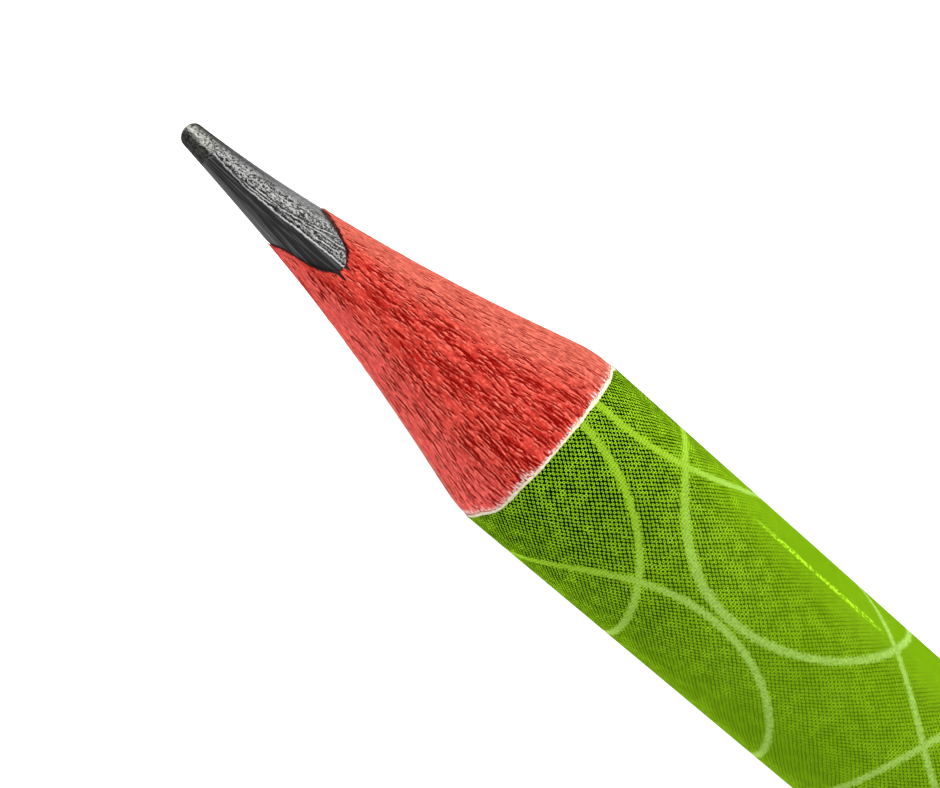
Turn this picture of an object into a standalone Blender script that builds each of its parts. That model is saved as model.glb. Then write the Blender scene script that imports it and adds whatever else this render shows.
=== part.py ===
"""A round wood-cased graphite pencil, sharpened at one end and cut off flat at the other.

Units are metres and +Z is up. The pencil lies on the floor along X, with its point at -X.
Each piece is modelled standing on its flat rear end, with local Z running up to the point,
and the empty called pencil_axis then lays the whole pencil down. In that standing frame
local X becomes up and local Y stays Y. The origin is the middle of the bounding box's base.

The pieces are made as the real ones are: a graphite rod is glued between two grooved
slats, the sandwich is turned round, a base coat and a printed film go on, and only then
does the sharpener cut the point through all of them.
"""

import math

import bmesh
import bpy

MM = 0.001

# The blank
OVERALL_LENGTH = 175.0 * MM
BARREL_DIAMETER = 7.3 * MM  # over the printed film
CORE_DIAMETER = 2.0 * MM
CORE_RISE = 0.40 * MM  # how far the core lies above the barrel's axis
CORE_SHIFT = 0.12 * MM  # and how far towards +Y

# The layers
FILM_THICKNESS = 0.022 * MM
BASE_COAT_THICKNESS = 0.018 * MM
GLUE_THICKNESS = 0.04 * MM
LAYER_GAP = 0.005 * MM  # clearance between two pieces that lie face to face
FILM_SEAM_WIDTH = 0.06 * MM  # where the two long edges of the wrapped film meet
FILM_SEAM_ANGLE = math.radians(150.0)  # measured from the top of the barrel towards +Y

# The sharpened point, as radii and slopes against the distance from the tip
TIP_RADIUS = 0.39 * MM  # of the cone where it runs into the rounded tip
TIP_CAP_LENGTH = 0.32 * MM
TIP_SLOPE = 0.10  # radius gained per unit of length beside the tip
HOLLOW_RADIUS = 66.7 * MM  # of the shallow inward curve that the blade leaves
WOOD_STEP = 0.06 * MM  # the wood stands this much above the softer graphite
SHOULDER_RUN = 0.53 * MM  # length over which the cut feathers out through the coats
SHOULDER_SLOPE = 0.10
SHOULDER_BLEND = 0.105 * MM
SHARPENING_TILT = math.radians(0.37)  # lean of the cut's axis, its tip towards +Y
SHARPENING_RISE = 0.02 * MM  # offset of the cut's axis from the barrel's, at the shoulder
SHARPENING_SHIFT = -0.012 * MM
TIP_LEAN = 0.07 * MM  # writing has worn the very tip over towards +Y
TIP_LEAN_LENGTH = 3.6 * MM

# The front edges of the coats, which break off along a slightly slanting ring
FILM_SETBACK = 0.12 * MM  # width of the base coat that shows in front of the film
EDGE_SIDE_SLANT = math.radians(2.5)  # the edge lies further back towards +Y
EDGE_UNDER_SLANT = math.radians(2.1)  # and towards the underside

# The flat that the blade's last pass leaves along the graphite
FLAT_CENTRE = math.radians(-20.0)  # from the top of the core towards +Y
FLAT_HALF_WIDTH = math.radians(20.0)
FLAT_START = 1.1 * MM  # from the tip

# Fineness of the facets
BARREL_SIDES = 96
CORE_SIDES = 72
LEAD_RINGS = 9
WOOD_RINGS = 12
SHOULDER_RINGS = 6
CAP_RINGS = 4
SMOOTH_ANGLE = math.radians(12.0)  # edges that turn more than this stay sharp

# Working allowances, which leave no mark on the pencil
CUTTER_MARGIN = 2.0 * MM
FIRST_RING = 0.1  # share of the tip radius at the cap's innermost ring
MERGE_DISTANCE = 1e-7

# Where each piece's surface lies
BARREL_RADIUS = BARREL_DIAMETER / 2
FILM_INNER_RADIUS = BARREL_RADIUS - FILM_THICKNESS
COAT_OUTER_RADIUS = FILM_INNER_RADIUS - LAYER_GAP
COAT_INNER_RADIUS = COAT_OUTER_RADIUS - BASE_COAT_THICKNESS
WOOD_RADIUS = COAT_INNER_RADIUS - LAYER_GAP
CORE_RADIUS = CORE_DIAMETER / 2
GLUE_INNER_RADIUS = CORE_RADIUS + LAYER_GAP
GLUE_OUTER_RADIUS = GLUE_INNER_RADIUS + GLUE_THICKNESS
GROOVE_RADIUS = GLUE_OUTER_RADIUS + LAYER_GAP
SLAT_OFFSET = GLUE_THICKNESS / 2 + LAYER_GAP  # from the joint's middle to either slat
HALF_FACET = math.pi / BARREL_SIDES
AXIS_HEIGHT = BARREL_RADIUS * math.cos(HALF_FACET)  # the barrel lies on one facet


def clear_scene():
    """Remove what the scene holds, so that only the pencil is in it."""
    for obj in list(bpy.data.objects):
        bpy.data.objects.remove(obj, do_unlink=True)


def new_collection(name):
    """Add a collection to the scene and return it."""
    collection = bpy.data.collections.new(name)
    bpy.context.scene.collection.children.link(collection)
    return collection


def new_material(name, colour, roughness, metallic=0.0):
    """Return a Principled BSDF material of one colour, given as linear red, green and blue."""
    material = bpy.data.materials.new(name)
    material.use_nodes = True
    shader = material.node_tree.nodes["Principled BSDF"]
    shader.inputs["Base Color"].default_value = (*colour, 1.0)
    shader.inputs["Roughness"].default_value = roughness
    shader.inputs["Metallic"].default_value = metallic
    return material


def place(obj, collection, axis, rise=0.0, shift=0.0, height=0.0):
    """Put an object on the pencil's axis, moved up and sideways from it by rise and shift."""
    collection.objects.link(obj)
    obj.parent = axis
    obj.location = (rise, shift, height)
    return obj


def object_from(name, bm):
    """Turn a bmesh into an object of that name."""
    mesh = bpy.data.meshes.new(name)
    bm.to_mesh(mesh)
    bm.free()
    return bpy.data.objects.new(name, mesh)


def rod(name, radius, bottom, top, sides):
    """Return a closed round rod about local Z, from bottom to top."""
    bm = bmesh.new()
    bmesh.ops.create_cone(
        bm, cap_ends=True, segments=sides, radius1=radius, radius2=radius, depth=top - bottom
    )
    bmesh.ops.translate(bm, verts=bm.verts, vec=(0.0, 0.0, (bottom + top) / 2))
    return object_from(name, bm)


def block(name, low, high):
    """Return a box between two corners."""
    bm = bmesh.new()
    bmesh.ops.create_cube(bm, size=1.0)
    size = [b - a for a, b in zip(low, high)]
    middle = [(a + b) / 2 for a, b in zip(low, high)]
    bmesh.ops.scale(bm, verts=bm.verts, vec=size)
    bmesh.ops.translate(bm, verts=bm.verts, vec=middle)
    return object_from(name, bm)


def turned(name, profile, sides, closed=False):
    """Turn a profile of (radius, height) points about local Z with a Screw modifier.

    The points run down the outer side, top to bottom. A closed profile makes a ring.
    """
    bm = bmesh.new()
    corners = [bm.verts.new((radius, 0.0, height)) for radius, height in profile]
    for upper, lower in zip(corners, corners[1:]):
        bm.edges.new((upper, lower))
    if closed:
        bm.edges.new((corners[-1], corners[0]))
    obj = object_from(name, bm)
    screw = obj.modifiers.new("turn", "SCREW")
    screw.axis = "Z"
    screw.steps = sides
    screw.render_steps = sides
    screw.use_merge_vertices = True
    screw.merge_threshold = MERGE_DISTANCE
    screw.use_normal_calculate = False
    return obj


def combine(obj, operation, other):
    """Add a Boolean modifier that joins, cuts or crops an object by another one."""
    modifier = obj.modifiers.new(other.name, "BOOLEAN")
    modifier.operation = operation
    modifier.solver = "EXACT"
    modifier.object = other


def hide_cutter(obj):
    """Mark an object as a working shape that is no part of the pencil."""
    obj.hide_render = True
    obj.display_type = "WIRE"
    return obj


def cone_radius(distance):
    """Radius of the graphite's cut at a distance from the tip: a shallow hollow arc."""
    return TIP_RADIUS + TIP_SLOPE * distance + distance**2 / (2 * HOLLOW_RADIUS)


def cone_distance(radius):
    """Distance from the tip at which the wood's cut would reach a radius."""
    missing = radius - TIP_RADIUS - WOOD_STEP
    reach = math.sqrt(TIP_SLOPE**2 + 2 * missing / HOLLOW_RADIUS)
    return (reach - TIP_SLOPE) * HOLLOW_RADIUS


# Where the cut comes out through the film, measured from the tip at the top of the barrel
FILM_EDGE = cone_distance(BARREL_RADIUS) + SHOULDER_RUN


def wood_cut_radius(distance):
    """Radius of the wood's cut, which blends from the cone into the feathered shoulder."""
    cone = cone_radius(distance) + WOOD_STEP
    shoulder = BARREL_RADIUS + SHOULDER_SLOPE * (distance - FILM_EDGE)
    return (cone + shoulder - math.hypot(cone - shoulder, SHOULDER_BLEND)) / 2


def spread(start, end, count):
    """Return count + 1 evenly spaced values from start to end."""
    return [start + (end - start) * i / count for i in range(count + 1)]


def tip_cap():
    """Points of the rounded tip, as (radius, distance from the tip) from the axis outwards."""
    rim = cone_radius(TIP_CAP_LENGTH)
    points = [(0.0, 0.0)]
    for share in spread(FIRST_RING, 1.0, CAP_RINGS):
        angle = share * math.pi / 2
        points.append((rim * math.sin(angle), TIP_CAP_LENGTH * (1 - math.cos(angle))))
    return points


def envelope_profile(points):
    """Close a cut's (radius, distance) points round everything behind them."""
    widest = BARREL_RADIUS + CUTTER_MARGIN
    last_distance = points[-1][1]
    profile = [(radius, -distance) for radius, distance in points]
    profile.append((widest, -last_distance))
    profile.append((widest, -OVERALL_LENGTH - CUTTER_MARGIN))
    profile.append((0.0, -OVERALL_LENGTH - CUTTER_MARGIN))
    return profile


def lead_envelope():
    """The space that sharpening leaves for the graphite, with the blade's flat in it."""
    reach = CORE_RADIUS + math.hypot(CORE_RISE, CORE_SHIFT) + WOOD_STEP
    last = cone_distance(reach) + CUTTER_MARGIN
    points = tip_cap()
    for distance in spread(TIP_CAP_LENGTH, last, LEAD_RINGS)[1:]:
        points.append((cone_radius(distance), distance))
    envelope = turned("lead_envelope", envelope_profile(points), CORE_SIDES)
    freeze(envelope)
    shave_flat(envelope.data)
    lean_tip(envelope.data)
    return envelope


def shave_flat(mesh):
    """Flatten one side of the graphite's envelope, as the blade's last pass does."""
    for vertex in mesh.vertices:
        if vertex.co.z > -FLAT_START:
            continue
        angle = math.atan2(vertex.co.y, vertex.co.x) - FLAT_CENTRE
        if abs(angle) < FLAT_HALF_WIDTH:
            share = math.cos(FLAT_HALF_WIDTH) / math.cos(angle)
            vertex.co.x *= share
            vertex.co.y *= share


def lean_tip(mesh):
    """Move the worn tip over, less and less towards the end of the worn length."""
    for vertex in mesh.vertices:
        left = 1.0 + vertex.co.z / TIP_LEAN_LENGTH
        if left > 0.0:
            vertex.co.y += TIP_LEAN * left**2


def coat_stop(name):
    """The space behind a coat's slanting front edge, whose middle is the local origin."""
    wide = 2 * (BARREL_RADIUS + CUTTER_MARGIN)
    stop = block(name, (-wide, -wide, -OVERALL_LENGTH), (wide, wide, 0.0))
    stop.rotation_euler = (-EDGE_SIDE_SLANT, -EDGE_UNDER_SLANT, 0.0)
    return stop


def wood_envelope():
    """The space that sharpening leaves for the casing and its coats."""
    blend_start = cone_distance(BARREL_RADIUS) - 2 * SHOULDER_RUN
    last = FILM_EDGE + SHOULDER_RUN
    points = [(0.0, -WOOD_STEP), (TIP_RADIUS + WOOD_STEP, -WOOD_STEP)]
    distances = spread(0.0, blend_start, WOOD_RINGS) + spread(blend_start, last, SHOULDER_RINGS)[1:]
    for distance in distances:
        points.append((wood_cut_radius(distance), distance))
    return turned("wood_envelope", envelope_profile(points), BARREL_SIDES)


def tube(name, inner, outer):
    """A coat round the whole blank, before the point is cut."""
    top = OVERALL_LENGTH + CUTTER_MARGIN
    profile = [(outer, top), (outer, 0.0), (inner, 0.0), (inner, top)]
    return turned(name, profile, BARREL_SIDES, closed=True)


def build_core(cutters):
    """The graphite rod, cut to its point."""
    core = rod("graphite_core", CORE_RADIUS, 0.0, OVERALL_LENGTH + CUTTER_MARGIN, CORE_SIDES)
    combine(core, "INTERSECT", cutters["lead_envelope"])
    return core


def build_glue(cutters):
    """The glue: a sleeve round the core with a wing out to each side between the slats."""
    glue = rod(
        "glue_film", GLUE_OUTER_RADIUS, -CUTTER_MARGIN, OVERALL_LENGTH + CUTTER_MARGIN, CORE_SIDES
    )
    combine(glue, "UNION", cutters["glue_wings"])
    combine(glue, "DIFFERENCE", cutters["core_bore"])
    combine(glue, "INTERSECT", cutters["casing_blank"])
    combine(glue, "INTERSECT", cutters["wood_envelope"])
    return glue


def build_slat(name, side, cutters):
    """One grooved half of the casing."""
    slat = rod(name, WOOD_RADIUS, 0.0, OVERALL_LENGTH + CUTTER_MARGIN, BARREL_SIDES)
    combine(slat, "INTERSECT", cutters[side])
    combine(slat, "DIFFERENCE", cutters["groove"])
    combine(slat, "INTERSECT", cutters["wood_envelope"])
    return slat


def build_base_coat(cutters):
    """The pale coat that fills and covers the wood under the film."""
    coat = tube("base_coat", COAT_INNER_RADIUS, COAT_OUTER_RADIUS)
    combine(coat, "INTERSECT", cutters["coat_stop"])
    return coat


def build_film(cutters):
    """The printed film, wrapped once round the barrel with a butt seam underneath."""
    film = tube("printed_film", FILM_INNER_RADIUS, BARREL_RADIUS)
    combine(film, "DIFFERENCE", cutters["film_seam"])
    combine(film, "INTERSECT", cutters["film_stop"])
    return film


def build_cutters(collection, axis):
    """Make the working shapes and return them by name."""
    wide = BARREL_RADIUS + CUTTER_MARGIN
    low = -CUTTER_MARGIN
    high = OVERALL_LENGTH + 2 * CUTTER_MARGIN
    joint = CORE_RISE
    half_glue = GLUE_THICKNESS / 2
    half_seam = FILM_SEAM_WIDTH / 2
    centred = {
        "casing_blank": rod("casing_blank", WOOD_RADIUS, 0.0, high, BARREL_SIDES),
        "slat_upper": block(
            "upper_half", (joint + SLAT_OFFSET, -wide, low), (wide, wide, high)
        ),
        "slat_lower": block(
            "lower_half", (-wide, -wide, low), (joint - SLAT_OFFSET, wide, high)
        ),
        "glue_wings": block(
            "glue_wings", (joint - half_glue, -wide, low), (joint + half_glue, wide, high)
        ),
        "film_seam": block("film_seam", (0.0, -half_seam, low), (wide, half_seam, high)),
    }
    on_core = {
        "core_bore": rod("core_bore", GLUE_INNER_RADIUS, 2 * low, high, CORE_SIDES),
        "groove": rod("groove", GROOVE_RADIUS, low, high, CORE_SIDES),
    }
    on_cut = {"lead_envelope": lead_envelope(), "wood_envelope": wood_envelope()}
    for cutter in centred.values():
        place(cutter, collection, axis)
    for cutter in on_core.values():
        place(cutter, collection, axis, CORE_RISE, CORE_SHIFT)
    tip_shift = SHARPENING_SHIFT + FILM_EDGE * math.tan(SHARPENING_TILT)
    for cutter in on_cut.values():
        place(cutter, collection, axis, SHARPENING_RISE, tip_shift, OVERALL_LENGTH)
        cutter.rotation_euler.x = -SHARPENING_TILT
    edge_distances = {"film_stop": FILM_EDGE, "coat_stop": FILM_EDGE - FILM_SETBACK}
    for name, distance in edge_distances.items():
        middle = distance + BARREL_RADIUS * math.tan(EDGE_UNDER_SLANT)
        centred[name] = place(coat_stop(name), collection, axis, height=OVERALL_LENGTH - middle)
    centred["casing_blank"].rotation_euler.z = HALF_FACET
    centred["film_seam"].rotation_euler.z = FILM_SEAM_ANGLE
    cutters = centred | on_core | on_cut
    for cutter in cutters.values():
        hide_cutter(cutter)
    return cutters


def freeze(obj):
    """Replace an object's mesh by what its modifiers make of it."""
    if not obj.users_collection:
        bpy.context.scene.collection.objects.link(obj)
    bpy.context.view_layer.update()
    evaluated = obj.evaluated_get(bpy.context.evaluated_depsgraph_get())
    mesh = bpy.data.meshes.new_from_object(evaluated)
    obj.modifiers.clear()
    obj.data = mesh
    mesh.name = obj.name


def main():
    """Build the pencil, piece by piece, from the core outwards."""
    clear_scene()
    pencil = new_collection("graphite_pencil")
    workshop = new_collection("cutters")
    workshop.hide_render = True

    axis = bpy.data.objects.new("pencil_axis", None)
    pencil.objects.link(axis)
    axis.location = (OVERALL_LENGTH / 2, 0.0, AXIS_HEIGHT)
    axis.rotation_euler.y = -math.pi / 2

    cutters = build_cutters(workshop, axis)
    wood = new_material("dyed_wood", (0.62, 0.10, 0.07), 0.8)
    core = place(build_core(cutters), pencil, axis, CORE_RISE, CORE_SHIFT)
    core.data.materials.append(new_material("graphite", (0.09, 0.09, 0.09), 0.42, 0.35))
    glue = place(build_glue(cutters), pencil, axis, CORE_RISE, CORE_SHIFT)
    glue.data.materials.append(new_material("wood_glue", (0.30, 0.13, 0.08), 0.5))
    pieces = [core, glue]
    for name in ("slat_upper", "slat_lower"):
        slat = place(build_slat(name, name, cutters), pencil, axis)
        slat.data.materials.append(wood)
        pieces.append(slat)
    coat = place(build_base_coat(cutters), pencil, axis)
    coat.data.materials.append(new_material("base_coat", (0.80, 0.76, 0.64), 0.6))
    film = place(build_film(cutters), pencil, axis)
    film.data.materials.append(new_material("printed_film", (0.17, 0.36, 0.01), 0.35))
    pieces += [coat, film]

    for piece in pieces:
        if piece not in (core, glue):
            piece.rotation_euler.z = HALF_FACET
        freeze(piece)
        piece.data.shade_smooth()
        piece.data.set_sharp_from_angle(angle=SMOOTH_ANGLE)


main()
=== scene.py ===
"""Look of a round wood-cased graphite pencil that lies on its side, with its point at -X.

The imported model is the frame. Each of its pieces is replaced by a finer one in the same
place: the graphite with the marks that the blade left, the two slats with their torn
pores, the glue between them, and the base coat and the printed film with their broken
edges. Lengths in this script are millimetres unless a comment says otherwise, and distances
along the pencil are measured from its tip. Angles go round it from its top towards +Y.
"""

from __future__ import annotations

import logging
import math
from collections.abc import Callable, Sequence
from dataclasses import dataclass
from enum import Enum

import bmesh
import bpy
import numpy as np
from mathutils import Matrix, Vector, noise

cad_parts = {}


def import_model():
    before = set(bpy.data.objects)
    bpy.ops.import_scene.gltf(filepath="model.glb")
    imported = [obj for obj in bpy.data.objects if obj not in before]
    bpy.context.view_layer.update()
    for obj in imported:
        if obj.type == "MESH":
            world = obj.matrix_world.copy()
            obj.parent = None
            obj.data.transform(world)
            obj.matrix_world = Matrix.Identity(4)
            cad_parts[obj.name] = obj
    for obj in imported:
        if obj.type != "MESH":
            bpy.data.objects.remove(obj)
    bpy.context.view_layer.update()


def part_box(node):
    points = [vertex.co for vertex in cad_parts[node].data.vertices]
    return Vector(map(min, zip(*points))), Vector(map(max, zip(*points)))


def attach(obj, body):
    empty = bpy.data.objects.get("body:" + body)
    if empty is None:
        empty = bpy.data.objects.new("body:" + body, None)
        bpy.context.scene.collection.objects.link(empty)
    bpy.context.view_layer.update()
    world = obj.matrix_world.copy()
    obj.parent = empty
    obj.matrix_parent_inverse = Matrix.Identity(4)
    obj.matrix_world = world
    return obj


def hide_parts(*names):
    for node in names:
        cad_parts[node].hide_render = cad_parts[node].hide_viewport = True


LOG = logging.getLogger("pencil")
MM = 0.001
Colour = tuple[float, float, float]
Direction = tuple[float, float, float]
Rule = Callable[[np.ndarray], np.ndarray]

# Distances from the tip at which the core, its groove and the glue have a ring of points.
# Over this stretch the core's outline becomes truly round.
INNER_STATIONS = (10.0, 14.0, 18.0, 24.0)

# The cut has left the core before this distance from the tip.
CORE_LIMIT = 11.0

# The ring on which the coats' and the paint's grain is read is about as wide as the barrel.
GRAIN_RADIUS = 3.6


def display(red: float, green: float, blue: float) -> Colour:
    """Turn a colour as a screen shows it, from 0 to 255, into linear values."""

    def linear(value: float) -> float:
        """One channel, by the usual curve of a screen."""
        share = value / 255
        return share / 12.92 if share <= 0.04045 else ((share + 0.055) / 1.055) ** 2.4

    return linear(red), linear(green), linear(blue)


class Slot(Enum):
    """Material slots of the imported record."""

    GRAPHITE = "graphite"
    GLUE = "wood_glue"
    WOOD = "dyed_wood"
    COAT = "base_coat"
    FILM = "printed_film"


# ---------------------------------------------------------------------------------------
# Shader expressions
# ---------------------------------------------------------------------------------------


@dataclass(frozen=True)
class Signal:
    """A number that a shader works out at each point, used as a Python number is."""

    graph: Graph
    socket: bpy.types.NodeSocket

    def __add__(self, other: Signal | float) -> Signal:
        """Sum."""
        return self.graph.math("ADD", self, other)

    def __sub__(self, other: Signal | float) -> Signal:
        """Difference."""
        return self.graph.math("SUBTRACT", self, other)

    def __rsub__(self, other: float) -> Signal:
        """Difference from a plain number."""
        return self.graph.math("SUBTRACT", other, self)

    def __mul__(self, other: Signal | float) -> Signal:
        """Product."""
        return self.graph.math("MULTIPLY", self, other)

    def __truediv__(self, other: Signal | float) -> Signal:
        """Quotient."""
        return self.graph.math("DIVIDE", self, other)

    def __rtruediv__(self, other: float) -> Signal:
        """Quotient of a plain number."""
        return self.graph.math("DIVIDE", other, self)

    def __pow__(self, other: float) -> Signal:
        """Power."""
        return self.graph.math("POWER", self, other)

    def __abs__(self) -> Signal:
        """Size without its sign."""
        return self.graph.math("ABSOLUTE", self)

    __radd__ = __add__
    __rmul__ = __mul__

    def least(self, other: Signal | float) -> Signal:
        """The smaller of the two."""
        return self.graph.math("MINIMUM", self, other)

    def most(self, other: Signal | float) -> Signal:
        """The larger of the two."""
        return self.graph.math("MAXIMUM", self, other)

    def cosine(self) -> Signal:
        """Cosine of an angle in radians."""
        return self.graph.math("COSINE", self)

    def wrapped(self, low: float, high: float) -> Signal:
        """The value brought between low and high by whole turns."""
        return self.graph.math("WRAP", self, high, low)

    def step(self, start: float | Signal, end: float | Signal) -> Signal:
        """Rise smoothly from 0 at start to 1 at end.

        Args:
            start: the value at which the step begins.
            end: the value at which it is complete; below start, the step falls.
        """
        node = self.graph.node(
            "ShaderNodeMapRange",
            {"interpolation_type": "SMOOTHSTEP", "clamp": True},
            {"Value": self, "From Min": start, "From Max": end},
        )
        return Signal(self.graph, node.outputs["Result"])


@dataclass(frozen=True)
class Tint:
    """A colour or a vector that a shader works out at each point."""

    graph: Graph
    socket: bpy.types.NodeSocket

    def blend(self, other: Tint | Colour, share: Signal | float) -> Tint:
        """Mix another colour in by a share from 0 to 1."""
        return self.graph.mix(share, self, other)

    def times(self, other: Tint | Colour) -> Tint:
        """Multiply each channel."""
        return self.graph.vector("MULTIPLY", self, other)

    def stretched(self, share: float) -> Tint:
        """A place with its X brought down to a share, which draws a pattern out along X."""
        return self.times((share, 1.0, 1.0))

    def scaled(self, factor: Signal | float) -> Tint:
        """Multiply all channels by one number."""
        node = self.graph.node(
            "ShaderNodeVectorMath", {"operation": "SCALE"}, {0: self, "Scale": factor}
        )
        return Tint(self.graph, node.outputs[0])


class Graph:
    """The nodes of one material.

    Attributes:
        material: the material itself.
        tree: its node tree, which starts empty.
    """

    def __init__(self, name: str) -> None:
        """Start an empty material of that name."""
        self.material = bpy.data.materials.new(name)
        self.material.use_nodes = True
        self.tree = self.material.node_tree
        self.tree.nodes.clear()

    def node(
        self,
        kind: str,
        settings: dict[str, object] | None = None,
        sockets: dict[str | int, object] | None = None,
    ) -> bpy.types.Node:
        """Add one node.

        Args:
            kind: the node's Blender type.
            settings: its properties, which are set before its sockets.
            sockets: a value or a link for each named or numbered input.

        Returns:
            The new node.
        """
        node = self.tree.nodes.new(kind)
        for key, value in (settings or {}).items():
            setattr(node, key, value)
        for key, value in (sockets or {}).items():
            target = node.inputs[key]
            if isinstance(value, Signal | Tint):
                self.tree.links.new(value.socket, target)
            elif isinstance(value, tuple) and target.type == "RGBA":
                target.default_value = (*value, 1.0)
            else:
                target.default_value = value
        return node

    def math(self, operation: str, *values: Signal | float) -> Signal:
        """Add a Math node on up to three values."""
        node = self.node("ShaderNodeMath", {"operation": operation}, dict(enumerate(values)))
        return Signal(self, node.outputs[0])

    def vector(self, operation: str, *values: Tint | Colour) -> Tint:
        """Add a Vector Math node on colours or vectors."""
        node = self.node(
            "ShaderNodeVectorMath", {"operation": operation}, dict(enumerate(values))
        )
        return Tint(self, node.outputs[0])

    def mix(self, share: Signal | float, first: Tint | Colour, second: Tint | Colour) -> Tint:
        """Mix two colours; a share of 1 is the second."""
        node = self.node(
            "ShaderNodeMix", {"data_type": "RGBA"}, {0: share, 6: first, 7: second}
        )
        return Tint(self, node.outputs[2])

    def value(self, name: str) -> Signal:
        """A number that the mesh carries at each of its points."""
        node = self.node("ShaderNodeAttribute", {"attribute_name": name})
        return Signal(self, node.outputs["Fac"])

    def position(self) -> Tint:
        """The point's place in the row frame, in millimetres."""
        node = self.node("ShaderNodeTexCoord")
        return Tint(self, node.outputs["Object"]).scaled(1 / MM)

    def split(self, vector: Tint) -> tuple[Signal, Signal, Signal]:
        """The three parts of a vector."""
        node = self.node("ShaderNodeSeparateXYZ", None, {0: vector})
        x, y, z = (Signal(self, output) for output in node.outputs)
        return x, y, z

    def join(self, x: Signal | float, y: Signal | float, z: Signal | float) -> Tint:
        """A vector from its three parts."""
        node = self.node("ShaderNodeCombineXYZ", None, {0: x, 1: y, 2: z})
        return Tint(self, node.outputs[0])

    def clouds(
        self, place: Tint, scale: float, detail: float = 2.0, distortion: float = 0.0
    ) -> Signal:
        """Soft random values from 0 to 1.

        Args:
            place: where the value is read.
            scale: how many lumps there are to a unit of length.
            detail: how many finer layers are added.
            distortion: how much the lumps are pulled about.
        """
        node = self.node(
            "ShaderNodeTexNoise",
            None,
            {"Vector": place, "Scale": scale, "Detail": detail, "Distortion": distortion},
        )
        return Signal(self, node.outputs["Fac"])

    def bump(self, height: Signal, strength: float) -> Tint:
        """A normal from a height in millimetres."""
        node = self.node(
            "ShaderNodeBump", None, {"Height": height, "Strength": strength, "Distance": MM}
        )
        return Tint(self, node.outputs[0])

    def finish(self, **sockets: object) -> bpy.types.Material:
        """Add the Principled shader with these inputs and the output.

        Args:
            **sockets: the shader's inputs, with underscores for the spaces in their names.

        Returns:
            The finished material.
        """
        inputs = {name.replace("_", " "): value for name, value in sockets.items()}
        shader = self.node("ShaderNodeBsdfPrincipled", None, inputs)
        output = self.node("ShaderNodeOutputMaterial")
        self.tree.links.new(shader.outputs[0], output.inputs[0])
        return self.material


# ---------------------------------------------------------------------------------------
# Meshes
# ---------------------------------------------------------------------------------------


@dataclass(frozen=True)
class Area:
    """A rectangle of the piece's texture map, as shares of its width and height."""

    left: float
    bottom: float
    right: float
    top: float

    def spread(self, across: np.ndarray, up: np.ndarray) -> np.ndarray:
        """Map shares from 0 to 1 into the rectangle."""
        x = self.left + across * (self.right - self.left)
        y = self.bottom + up * (self.top - self.bottom)
        return np.stack(np.broadcast_arrays(x, y), axis=-1)


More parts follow.
